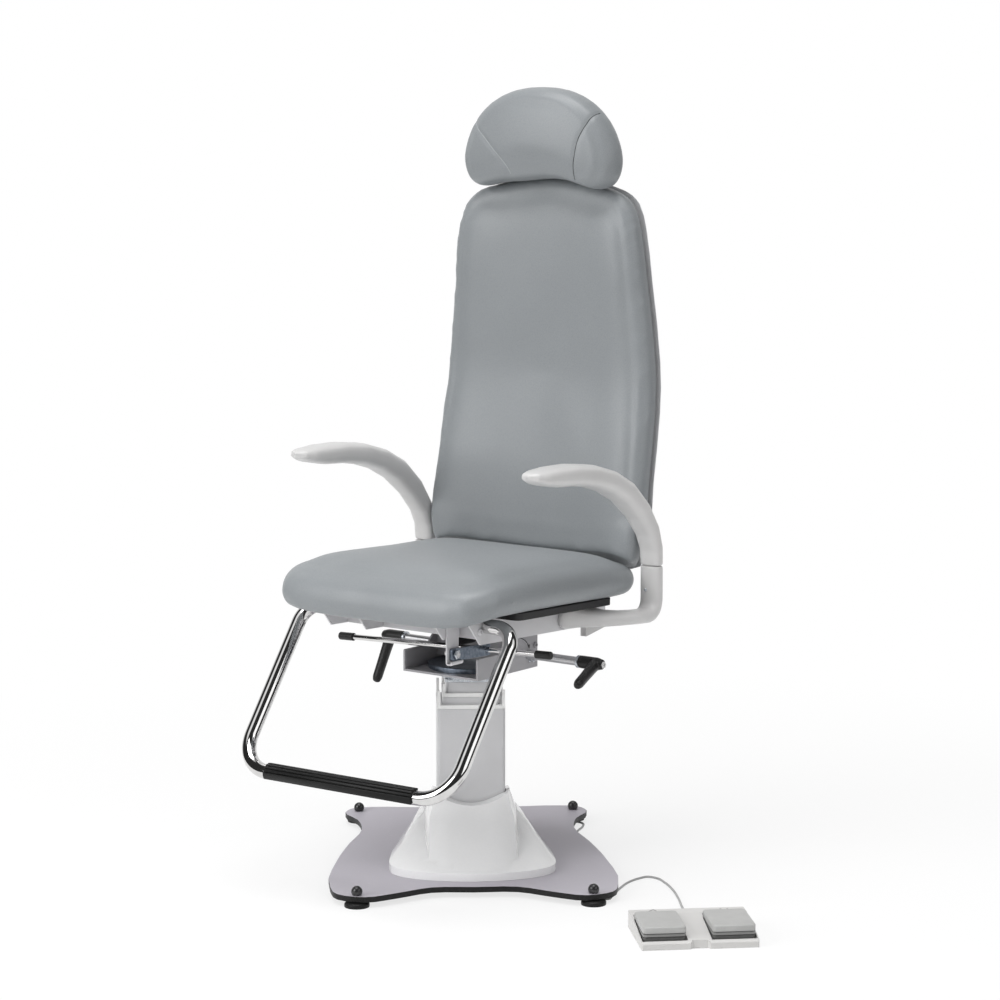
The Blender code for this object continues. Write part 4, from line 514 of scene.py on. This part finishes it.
# cushions: the solid a little thinner, blown up as a sewn cover
cushionSets = {
    "seatCushion": {"node": "seat_cushion", "shrink": 0.0030, "voxel": 0.0060, "pressure": 4.0, "cap": 0.0070,
                    "rest": Vector((0, 0, -1)), "hold": 0.0, "fill": 0.85},
    "backCushion": {"node": "back_cushion", "shrink": 0.0030, "voxel": 0.0060, "pressure": 4.0, "cap": 0.0070,
                    "rest": Vector((0, 1, 0)), "hold": 0.605, "fill": 0.85},
    "headCushion": {"node": "headrest_cushion", "shrink": 0.0025, "voxel": 0.0045, "pressure": 4.0, "cap": 0.0060,
                    "rest": Vector((0, 1, 0)), "hold": 0.0, "fill": 0.9},
}
coverSet = {"fade": 0.09, "held": 0.05, "flat": 0.80, "first": 6, "even": 40, "waves": 30, "inOut": (0.5, -0.52),
            "rims": (0.0006, 0.0010), "front": 0.0050, "frames": 20,
            "cloth": {"quality": 5, "mass": 0.3, "tension_stiffness": 15.0, "compression_stiffness": 15.0,
                      "bending_stiffness": 2.0, "use_pressure": True, "vertex_group_mass": "resting"}}


def cushion(name):
    s = cushionSets[name]
    piece = voxelled(s["node"], name, s["voxel"])
    free = (readPoints(piece.data)[:, 2] - s["hold"]) / coverSet["fade"]
    free = np.clip(free, 0, 1)  # 0 where another cushion presses on it
    relax(piece, coverSet["first"], np.flatnonzero(free < coverSet["held"]))
    flat = readNormals(piece.data) @ np.array(s["rest"]) > coverSet["flat"]  # where it rests on its board
    free[flat] = 0
    writePoints(piece.data, readPoints(piece.data) - readNormals(piece.data) * (s["shrink"] * free)[:, None])
    start = readPoints(piece.data)
    held = [int(k) for k in np.flatnonzero(free < coverSet["held"])]
    piece.vertex_groups.new(name="resting").add(held, 1.0, "REPLACE")
    cloth = piece.modifiers.new("cover", "CLOTH")
    for key, value in coverSet["cloth"].items():
        setattr(cloth.settings, key, value)
    cloth.settings.uniform_pressure_force = s["pressure"]
    cloth.settings.effector_weights.gravity = 0.0
    cloth.point_cache.frame_start, cloth.point_cache.frame_end = 1, coverSet["frames"]
    for step in range(coverSet["frames"]):
        scene.frame_set(step + 1)
    blown = bpy.data.meshes.new_from_object(piece.evaluated_get(bpy.context.evaluated_depsgraph_get()))
    piece.modifiers.clear()
    piece.vertex_groups.clear()
    move = readPoints(blown) - start
    reach = np.linalg.norm(move, axis=1)
    move *= (np.minimum(reach, s["cap"] * free) / np.maximum(reach, 1e-9))[:, None]
    writePoints(blown, start + move)
    piece.data = blown
    scene.frame_set(1)
    relax(piece, coverSet["even"], np.flatnonzero(free < coverSet["held"]))
    for rim in coverSet["rims"]:
        keepNear(piece, s["node"], -s["rest"], rim, coverSet["front"])
        relax(piece, 1)
    keepNear(piece, s["node"], -s["rest"], rim, coverSet["front"])
    relax(piece, coverSet["waves"], (), coverSet["inOut"])  # in and out again: small waves go, the size stays
    fitTo(piece, s["node"])
    for face in piece.data.polygons:
        face.use_smooth = True
    dress(piece, nodes[s["node"]]["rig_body"], "leather", "leather", s["node"])
    print("cushion made:", name, len(piece.data.vertices))
    return piece


def ontoFront(piece, spots):  # points of the chair's frame laid on a cushion's front
    tree = BVHTree.FromPolygons([v.co for v in piece.data.vertices], [p.vertices for p in piece.data.polygons])
    line = []
    for x, z in spots:
        start = chairFrame @ Vector((x, -1.0, z))
        hit = tree.ray_cast(start, Vector((0, 1, 0)))[0]
        if hit is not None:
            line.append(hit)
    return line


def pinch(piece, line, width, depth):  # the cover drawn in along a seam
    points = readPoints(piece.data)
    near = np.min([np.linalg.norm(points - np.array(p), axis=1) for p in line], axis=0)
    draw = depth * np.exp(-(near / width) ** 2)
    writePoints(piece.data, points - readNormals(piece.data) * draw[:, None])


seatCushion = cushion("seatCushion")
backCushion = cushion("backCushion")
headCushion = cushion("headCushion")

# the headrest's underside, let down onto the back's top edge
sagSet = {"middle": -0.045, "wide": 0.048, "below": 1.270, "fade": 0.035, "drop": 0.0060}
points = readPoints(headCushion.data)
across = (points[:, 0] - chairFrame.translation.x - sagSet["middle"]) / sagSet["wide"]
under = np.clip((sagSet["below"] - points[:, 2]) / sagSet["fade"], 0, 1)
points[:, 2] -= sagSet["drop"] * np.exp(-across ** 2) * under
writePoints(headCushion.data, points)

# the headrest's two sewn seams, the left thread drawn light as painted highlight, the right one dark as painted shade
seamSets = {
    "headSeamLeft": {"spots": [(-0.136, 1.3285), (-0.1202, 1.3148), (-0.0981, 1.2978), (-0.0788, 1.2805),
                               (-0.0613, 1.2633), (-0.0484, 1.2457), (-0.045, 1.236)], "finish": "seamHighlight"},
    "headSeamRight": {"spots": [(0.1275, 1.3500), (0.1245, 1.3413), (0.1190, 1.3270), (0.1084, 1.3041),
                                (0.1010, 1.2717), (0.0967, 1.2427), (0.0980, 1.2280)], "finish": "seamShade"},
}
threadSet = {"radius": 0.0007, "wide": 0.0035, "deep": 0.0016, "steps": 8}
for s in seamSets.values():
    spots = [(p.x, p.y) for p in smoothLine([(x, z, 0) for x, z in s["spots"]], threadSet["steps"])]
    s["line"] = ontoFront(headCushion, spots)
    pinch(headCushion, s["line"], threadSet["wide"], threadSet["deep"])
for name, s in seamSets.items():
    spots = [((p - chairFrame.translation).x, p.z) for p in s["line"]]
    seam = tubeAlong(name, ontoFront(headCushion, spots), threadSet["radius"], 2)
    dress(seam, "headrest", s["finish"], "leather")
for piece in (seatCushion, backCushion, headCushion):
    piece.modifiers.new("finer", "SUBSURF").levels = 1
    piece.modifiers["finer"].render_levels = 1
print("cushions sewn")


# arms and their posts, flowed smooth
armSet = {"voxel": 0.0024, "passes": 4}
for word in ("left", "right"):
    melted("arm_" + word, "armGrey", "arm_grey", armSet["voxel"], armSet["passes"])
    melted("arm_bracket_" + word, "armGrey", "arm_grey", armSet["voxel"], armSet["passes"], "armPost" + word.title())

# solids with rounded edges: finish, slot, width, then crease and segments where they differ
edgeSets = {
    "base_plate": ("plate", "plate_paint", 0.0012),
    "column_cover": ("shellWhite", "white_shell", 0.0022, 34.0, 3),
    "column_outer": ("columnGrey", "column_paint", 0.0008),
    "column_mid": ("columnGrey", "column_paint", 0.0006),
    "column_inner": ("columnGrey", "column_paint", 0.0006),
    "glide_outer": ("glideWhite", "glide_white", 0.0005),
    "glide_mid": ("glideWhite", "glide_white", 0.0005),
    "top_plate": ("zinc", "zinc", 0.0006),
    "swivel_disc": ("zincDark", "zinc", 0.0006),
    "swivel_bracket": ("bracketGrey", "frame_paint", 0.0008),
    "clamp_tube": ("clampTube", "zinc", 0.0006),
    "seat_rail_left": ("frameGrey", "frame_paint", 0.0007),
    "seat_rail_right": ("frameGrey", "frame_paint", 0.0007),
    "cross_member": ("frameGrey", "frame_paint", 0.0007),
    "seat_board": ("boardBlack", "board_black", 0.0012),
    "release_hook": ("frameGrey", "frame_paint", 0.0006),
    "release_arm": ("zincDark", "zinc", 0.0008),
    "back_arm_left": ("frameGrey", "frame_paint", 0.0010),
    "back_arm_right": ("frameGrey", "frame_paint", 0.0010),
    "headrest_guide": ("leverBlack", "lever_black", 0.0012),
    "headrest_carrier": ("zinc", "zinc", 0.0008),
    "release_cap_left": ("leverBlack", "lever_black", 0.0008),
    "release_cap_right": ("leverBlack", "lever_black", 0.0008),
    "release_bar": ("chrome", "chrome", 0.0005),
    "gas_cylinder": ("leverBlack", "lever_black", 0.0008),
    "back_shell": ("backShell", "shell_grey", 0.0016, 24.0, 3),
    "pedal_housing": ("pedalShell", "pedal_grey", 0.0020, 32.0, 3),
}
for node, settings in edgeSets.items():
    edged(node, *settings)

# levers and knobs flowed smooth, feet with rounded edges
meltSets = {"lever": ("leverBlack", "lever_black", 0.0014, 5), "knob": ("knobBlack", "knob_black", 0.0010, 4)}
footSet = ("rubberBlack", "black_rubber", 0.0008)
for word in ("left", "right"):
    melted("clamp_lever_" + word, *meltSets["lever"])
for end in ("front", "rear"):
    for word in ("left", "right"):
        melted("knob_%s_%s" % (end, word), *meltSets["knob"])
        edged("foot_%s_%s" % (end, word), *footSet)
print("solids dressed")

# the foot control's pads: stacked layers with a groove between them
layerSet = {"round": 0.0022, "segments": 3, "grooves": (0.01825, 0.02435), "half": 0.0006, "deep": 0.0012,
            "near": 0.00005, "crease": 38.0}


def layeredPad(node):
    s = layerSet
    piece = settle(copyOf(node), rounding(s["round"], s["segments"], solidSet["crease"]))
    bm = bmesh.new()
    bm.from_mesh(piece.data)
    for z in s["grooves"]:
        for lift in (-s["half"], 0.0, s["half"]):
            bmesh.ops.bisect_plane(bm, geom=bm.verts[:] + bm.edges[:] + bm.faces[:], dist=0.000001,
                                   plane_co=(0, 0, z + lift), plane_no=(0, 0, 1))
    bm.normal_update()
    inward = {v: -Vector((v.normal.x, v.normal.y, 0)).normalized() * s["deep"] for v in bm.verts
              if min(abs(v.co.z - z) for z in s["grooves"]) < s["near"]}
    for vert, move in inward.items():
        vert.co += move
    bm.to_mesh(piece.data)
    bm.free()
    return dress(shade(piece, s["crease"]), nodes[node]["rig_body"], "pedalPad", "pad_grey", node)


layeredPad("pedal_up")
layeredPad("pedal_down")
print("pads layered")

# the footrest's bent tube, drawn as a curve
footrestSet = {"radius": 0.0130, "half": 0.2345, "start": 0.1703, "pivot": (-0.17628, 0.47618),
               "bar": (-0.36597, 0.20798), "topBend": 0.040, "lowBend": 0.066, "steps": 20}


def bentLine(points, radii, steps):  # corners turned into arcs
    line = [Vector(points[0])]
    for i, radius in enumerate(radii):
        corner = Vector(points[i + 1])
        back = (Vector(points[i]) - corner).normalized()
        ahead = (Vector(points[i + 2]) - corner).normalized()
        half = back.angle(ahead) / 2
        middle = corner + (back + ahead).normalized() * (radius / sin(half))
        first = corner + back * (radius * cos(half) / sin(half)) - middle
        last = corner + ahead * (radius * cos(half) / sin(half)) - middle
        line += [middle + first.slerp(last, k / steps) * radius for k in range(steps + 1)]
    return line + [Vector(points[-1])]


half, pivot, bar = footrestSet["half"], footrestSet["pivot"], footrestSet["bar"]
corners = [(-footrestSet["start"], *pivot), (-half, *pivot), (-half, *bar),
           (half, *bar), (half, *pivot), (footrestSet["start"], *pivot)]
bends = [footrestSet[key] for key in ("topBend", "lowBend", "lowBend", "topBend")]
footrestLine = [chairFrame @ p for p in bentLine(corners, bends, footrestSet["steps"])]
dress(tubeAlong("footrestLoop", footrestLine, footrestSet["radius"], 10), "footrest", "chrome", "chrome",
      "footrest_tube")

# the rubber tread round its crossbar: deep ribs over the top, smooth below
treadSet = {"half": 0.1645, "inner": 0.0133, "outer": 0.0169, "from": -34.0, "ribsFrom": 14.0, "to": 112.0,
            "ribs": 4.6, "groove": 0.0026, "wide": 0.27, "round": 0.0009, "steps": 96, "inside": 24, "crease": 50.0}


def treadPiece(s):
    def spot(x, angle, reach):
        a = radians(angle)
        return bm.verts.new((x, bar[0] - reach * cos(a), bar[1] + reach * sin(a)))

    bm = bmesh.new()
    span = s["to"] - s["from"]
    rings = []
    for x, inset in ((-s["half"], s["round"]), (s["round"] - s["half"], 0), (s["half"] - s["round"], 0),
                     (s["half"], s["round"])):
        ring = []
        for k in range(s["steps"] + 1):
            angle = s["from"] + span * k / s["steps"]
            turns = (angle - s["ribsFrom"]) / (s["to"] - s["ribsFrom"]) * s["ribs"]
            off = abs(turns - round(turns)) if turns > -0.5 else 0.5
            valley = 0.5 - 0.5 * cos(pi * max(0.0, 1 - off / s["wide"]))
            ring.append(spot(x, angle, s["outer"] - inset - valley * s["groove"]))
        ring += [spot(x, s["to"] - span * k / s["inside"], s["inner"]) for k in range(s["inside"] + 1)]
        rings.append(ring)
    bridged(bm, rings)
    return shade(pieceOf("footrestTread", bm, chairFrame), s["crease"])


dress(treadPiece(treadSet), "footrest", "rubberBlack", "tread_rubber", "footrest_tread")


# small fittings
turnSet = {"sides": 28, "crease": 40.0}
nutSet = {"chamfer": 0.08, "recess": 0.4, "crease": 25.0}


def ringOf(bm, radius, height, sides):
    turns = [2 * pi * k / sides for k in range(sides)]
    return [bm.verts.new((radius * cos(a), radius * sin(a), height)) for a in turns]


def placed(name, bm, place, toward):  # a piece at a spot of the chair's frame, its Z along toward
    spin = Vector(toward).to_track_quat("Z", "Y").to_matrix().to_4x4()
    return pieceOf(name, bm, chairFrame @ Matrix.Translation(place) @ spin)


def turnedPiece(name, profile, place, toward):  # (radius, height) pairs turned about an axis
    bm = bmesh.new()
    sides = turnSet["sides"]
    rings = [ringOf(bm, radius, height, sides if radius else 1) for radius, height in profile]
    for low, high in zip(rings, rings[1:]):
        for k in range(sides):
            loop = [low[k % len(low)], low[(k + 1) % len(low)], high[(k + 1) % len(high)], high[k % len(high)]]
            loop = [v for i, v in enumerate(loop) if v not in loop[:i]]
            if len(loop) > 2:
                bm.faces.new(loop)
    return shade(placed(name, bm, place, toward), turnSet["crease"])


def screw(name, place, toward, radius, body, finish, slot):  # domed head with a socket
    r = radius
    profile = [(0, 0.10 * r), (0.38 * r, 0.16 * r), (0.44 * r, 0.60 * r), (0.52 * r, 0.64 * r), (0.78 * r, 0.54 * r),
               (0.95 * r, 0.30 * r), (r, 0.06 * r), (r, -0.10 * r), (0, -0.10 * r)]
    return dress(turnedPiece(name, profile, place, toward), body, finish, slot)


def hexNut(name, place, toward, across, height, bore, body, finish, slot):
    corner, edge = across / 1.732, nutSet["chamfer"] * across
    levels = ((corner - edge, 0), (corner, edge), (corner, height - edge), (corner - edge, height),
              (bore, height), (bore, height * nutSet["recess"]))
    bm = bmesh.new()
    bridged(bm, [ringOf(bm, radius, z, 6) for radius, z in levels])
    return dress(shade(placed(name, bm, place, toward), nutSet["crease"]), body, finish, slot)


def sheet(name, outline, low, high):  # a flat (y, z) outline of the chair's frame, thick along x
    bm = bmesh.new()
    bridged(bm, [[bm.verts.new((x, y, z)) for y, z in outline] for x in (low, high)])
    return pieceOf(name, bm, chairFrame)


# screws on both sides: the right one's place and way out, then radius, finish and slot
screwSets = {
    "postScrew%s": ((0.2535, 0.1866, 0.4990), (0, -1, 0), 0.0030, "zinc", "zinc"),
    "railScrew%s": ((0.1682, -0.1925, 0.4682), (1, 0, 0), 0.0058, "frameGrey", "frame_paint"),
    "wallScrew%s": ((0.0842, 0.0825, 0.3955), (1, 0, 0), 0.0056, "bracketGrey", "frame_paint"),
    "lowScrew%s0": ((0.0842, 0.0660, 0.3690), (1, 0, 0), 0.0030, "zinc", "zinc"),
    "lowScrew%s1": ((0.0842, 0.0770, 0.3675), (1, 0, 0), 0.0030, "zinc", "zinc"),
}
clampSet = {"axis": (0.0615, 0.381), "washer": 0.1945, "hubEnd": 0.249, "cap": (0.0118, 0.0026, 0.0028),
            "collar": [(0.0081, 0.0), (0.0108, 0.0), (0.0116, 0.0008), (0.0116, 0.0042), (0.0108, 0.0050),
                       (0.0081, 0.0050), (0.0081, 0.0)]}
for side, word in ((-1, "Left"), (1, "Right")):
    for name, ((x, y, z), (outX, outY, outZ), radius, finish, slot) in screwSets.items():
        screw(name % word, (side * x, y, z), (side * outX, outY, outZ), radius, "carrier", finish, slot)
    washer, hubEnd = ((side * clampSet[key], *clampSet["axis"]) for key in ("washer", "hubEnd"))
    collar = turnedPiece("clampCollar" + word, clampSet["collar"], washer, (side, 0, 0))
    dress(collar, "carrier", "zinc", "zinc")
    hexNut("leverCap" + word, hubEnd, (side, 0, 0), *clampSet["cap"], "lever_" + word.lower(), "armGrey", "arm_grey")

# the nut on the release pin, just outside the arm
pinSet = {"axis": (-0.168, 0.417), "nut": (0.0150, 0.0052, 0.0046), "gap": 0.0002}
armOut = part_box("release_arm")[1][0] - chairFrame.translation.x
hexNut("releaseNut", (armOut + pinSet["gap"], *pinSet["axis"]), (1, 0, 0), *pinSet["nut"], "carrier", "zinc", "zinc")

# the rotation mark on the bracket's right wall
markSet = {"wall": 0.0842, "arc": [(0.0218, 0.4172), (0.0352, 0.4153), (0.0545, 0.4062), (0.0631, 0.3967)], "steps": 6,
           "head": [(0.0660, 0.3990), (0.0590, 0.3985), (0.0648, 0.3915)], "line": 0.0007, "thick": 0.0005}
wall = markSet["wall"]
arc = [chairFrame @ p for p in smoothLine([(wall, y, z) for y, z in markSet["arc"]], markSet["steps"])]
dress(tubeAlong("turnMarkArc", arc, markSet["line"], 2), "carrier", "markDark", "lever_black")
dress(sheet("turnMarkHead", markSet["head"], wall, wall + markSet["thick"]), "carrier", "markDark", "lever_black")

# under the right rail a bent tab, under the board's right edge a light strip: outline, inner and outer x
sheetSets = {
    "railTab": ([(0.126, 0.4352), (0.186, 0.4375), (0.190, 0.4290), (0.184, 0.4235), (0.126, 0.4140)],
                0.1650, 0.1675),
    "railTabEnd": ([(0.1235, 0.4350), (0.1260, 0.4350), (0.1260, 0.4140), (0.1235, 0.4140)], 0.1555, 0.1675),
    "boardStrip": ([(0.030, 0.4798), (0.135, 0.4761), (0.135, 0.4737), (0.030, 0.4774)], 0.1680, 0.2060),
}
for name, settings in sheetSets.items():
    dress(sheet(name, *settings), "carrier", "armGrey", "frame_paint")

# raised up and down marks on the foot control's rim
arrowSet = {"upMark": [(0.2865, -0.4729), (0.2944, -0.4625), (0.2999, -0.4734)],
            "downMark": [(0.4072, -0.4600), (0.4129, -0.4704), (0.4198, -0.4604)], "height": 0.0301, "line": 0.0008}
for name in ("upMark", "downMark"):
    line = [baseFrame @ Vector((x, y, arrowSet["height"])) for x, y in arrowSet[name]]
    dress(tubeAlong(name, line, arrowSet["line"], 2), "base", "markGrey", "pad_grey")
print("fittings added")

# hidden and small nodes that keep their shape
plainSet = {"lift_actuator": "boardBlack", "cord_gland": "leverBlack", "lift_rod": "chrome", "swivel_bearing": "zinc",
            "hinge_pin": "zinc", "footrest_rod": "zinc", "arm_pin_left": "zinc", "arm_pin_right": "zinc",
            "gas_rod": "chrome", "recline_pin": "zinc"}
for node, finish in plainSet.items():
    nodes[node].data.materials.clear()
    nodes[node].data.materials.append(finishes[finish])

# studio: pale floor that fades to white, soft light
stageSet = {"floor": 0.90, "lift": 0.74, "near": 0.8, "far": 2.0, "radius": 3.0, "sides": 96, "ambient": 0.38}
f = Finish("paleFloor")
path = f.node("ShaderNodeLightPath", {}, {}, "Is Camera Ray")
gloss = f.node("ShaderNodeLightPath", {}, {}, "Is Glossy Ray")
away = f.node("ShaderNodeVectorMath", {"operation": "LENGTH"}, {0: f.place()}, "Value")
fade = f.node("ShaderNodeMapRange", {"interpolation_type": "SMOOTHSTEP"},
              {"Value": away, "From Min": stageSet["near"], "From Max": stageSet["far"],
               "To Min": stageSet["lift"], "To Max": 1.0})
matt = f.node("ShaderNodeBsdfDiffuse", {}, {"Color": (stageSet["floor"], stageSet["floor"], stageSet["floor"], 1)})
glow = f.node("ShaderNodeEmission", {}, {"Color": (1, 1, 1, 1), "Strength": 1.0})
shown = f.node("ShaderNodeMixShader", {}, {0: (path + gloss) * fade, 1: matt, 2: glow})
f.node("ShaderNodeOutputMaterial", {}, {"Surface": shown})
bm = bmesh.new()
bmesh.ops.create_circle(bm, cap_ends=True, segments=stageSet["sides"], radius=stageSet["radius"])
floor = pieceOf("floor", bm)
floor.data.materials.append(f.owner)

# lit patches of the studio as metal sees them: azimuth, height, inner and outer reach, strength
boxSets = ((-110.0, 38.0, 0.965, 0.93, 1.0), (20.0, 32.0, 0.97, 0.94, 1.0), (0.0, 90.0, 0.94, 0.89, 0.9),
           (127.0, 5.0, 0.70, 0.55, 0.8))
boxes = 0.03
world = bpy.data.worlds.new("studio")
scene.world = world
f = Finish("studio", world)
aim = f.node("ShaderNodeTexCoord", {}, {}, "Generated")
for azimuth, height, near, far, strength in boxSets:
    side, up = radians(azimuth), radians(height)
    toward = (cos(side) * cos(up), sin(side) * cos(up), sin(up))
    close = f.node("ShaderNodeVectorMath", {"operation": "DOT_PRODUCT"}, {0: aim, 1: toward}, "Value")
    boxes = boxes + f.ramp(close, (far, 0.0), (near, 1.0)) * strength
seen = f.node("ShaderNodeLightPath", {}, {}, "Is Camera Ray")
mirror = f.node("ShaderNodeLightPath", {}, {}, "Is Glossy Ray")
level = seen + (1 - seen) * (mirror * boxes + (1 - mirror) * stageSet["ambient"])
sky = f.node("ShaderNodeBackground", {}, {"Color": (1, 1, 1, 1), "Strength": level})
f.node("ShaderNodeOutputWorld", {}, {"Surface": sky})

# lamps: place, size and power, all aimed at the seat
lampSets = {"keyLight": ((-2.4, -5.6, 2.9), 4.0, 208.0), "fillLight": ((3.6, -0.6, 2.0), 2.2, 22.0),
            "topLight": ((-0.4, -0.9, 7.5), 5.0, 340.0)}
lampAim = Vector((-0.15, 0, 0.65))
for name, (place, size, power) in lampSets.items():
    light = bpy.data.lights.new(name, "AREA")
    light.shape, light.size, light.size_y, light.energy = "RECTANGLE", size, size, power
    ob = bpy.data.objects.new(name, light)
    ob.location = place
    ob.rotation_euler = (lampAim - Vector(place)).to_track_quat("-Z", "Y").to_euler()
    scene.collection.objects.link(ob)
print("studio lit")
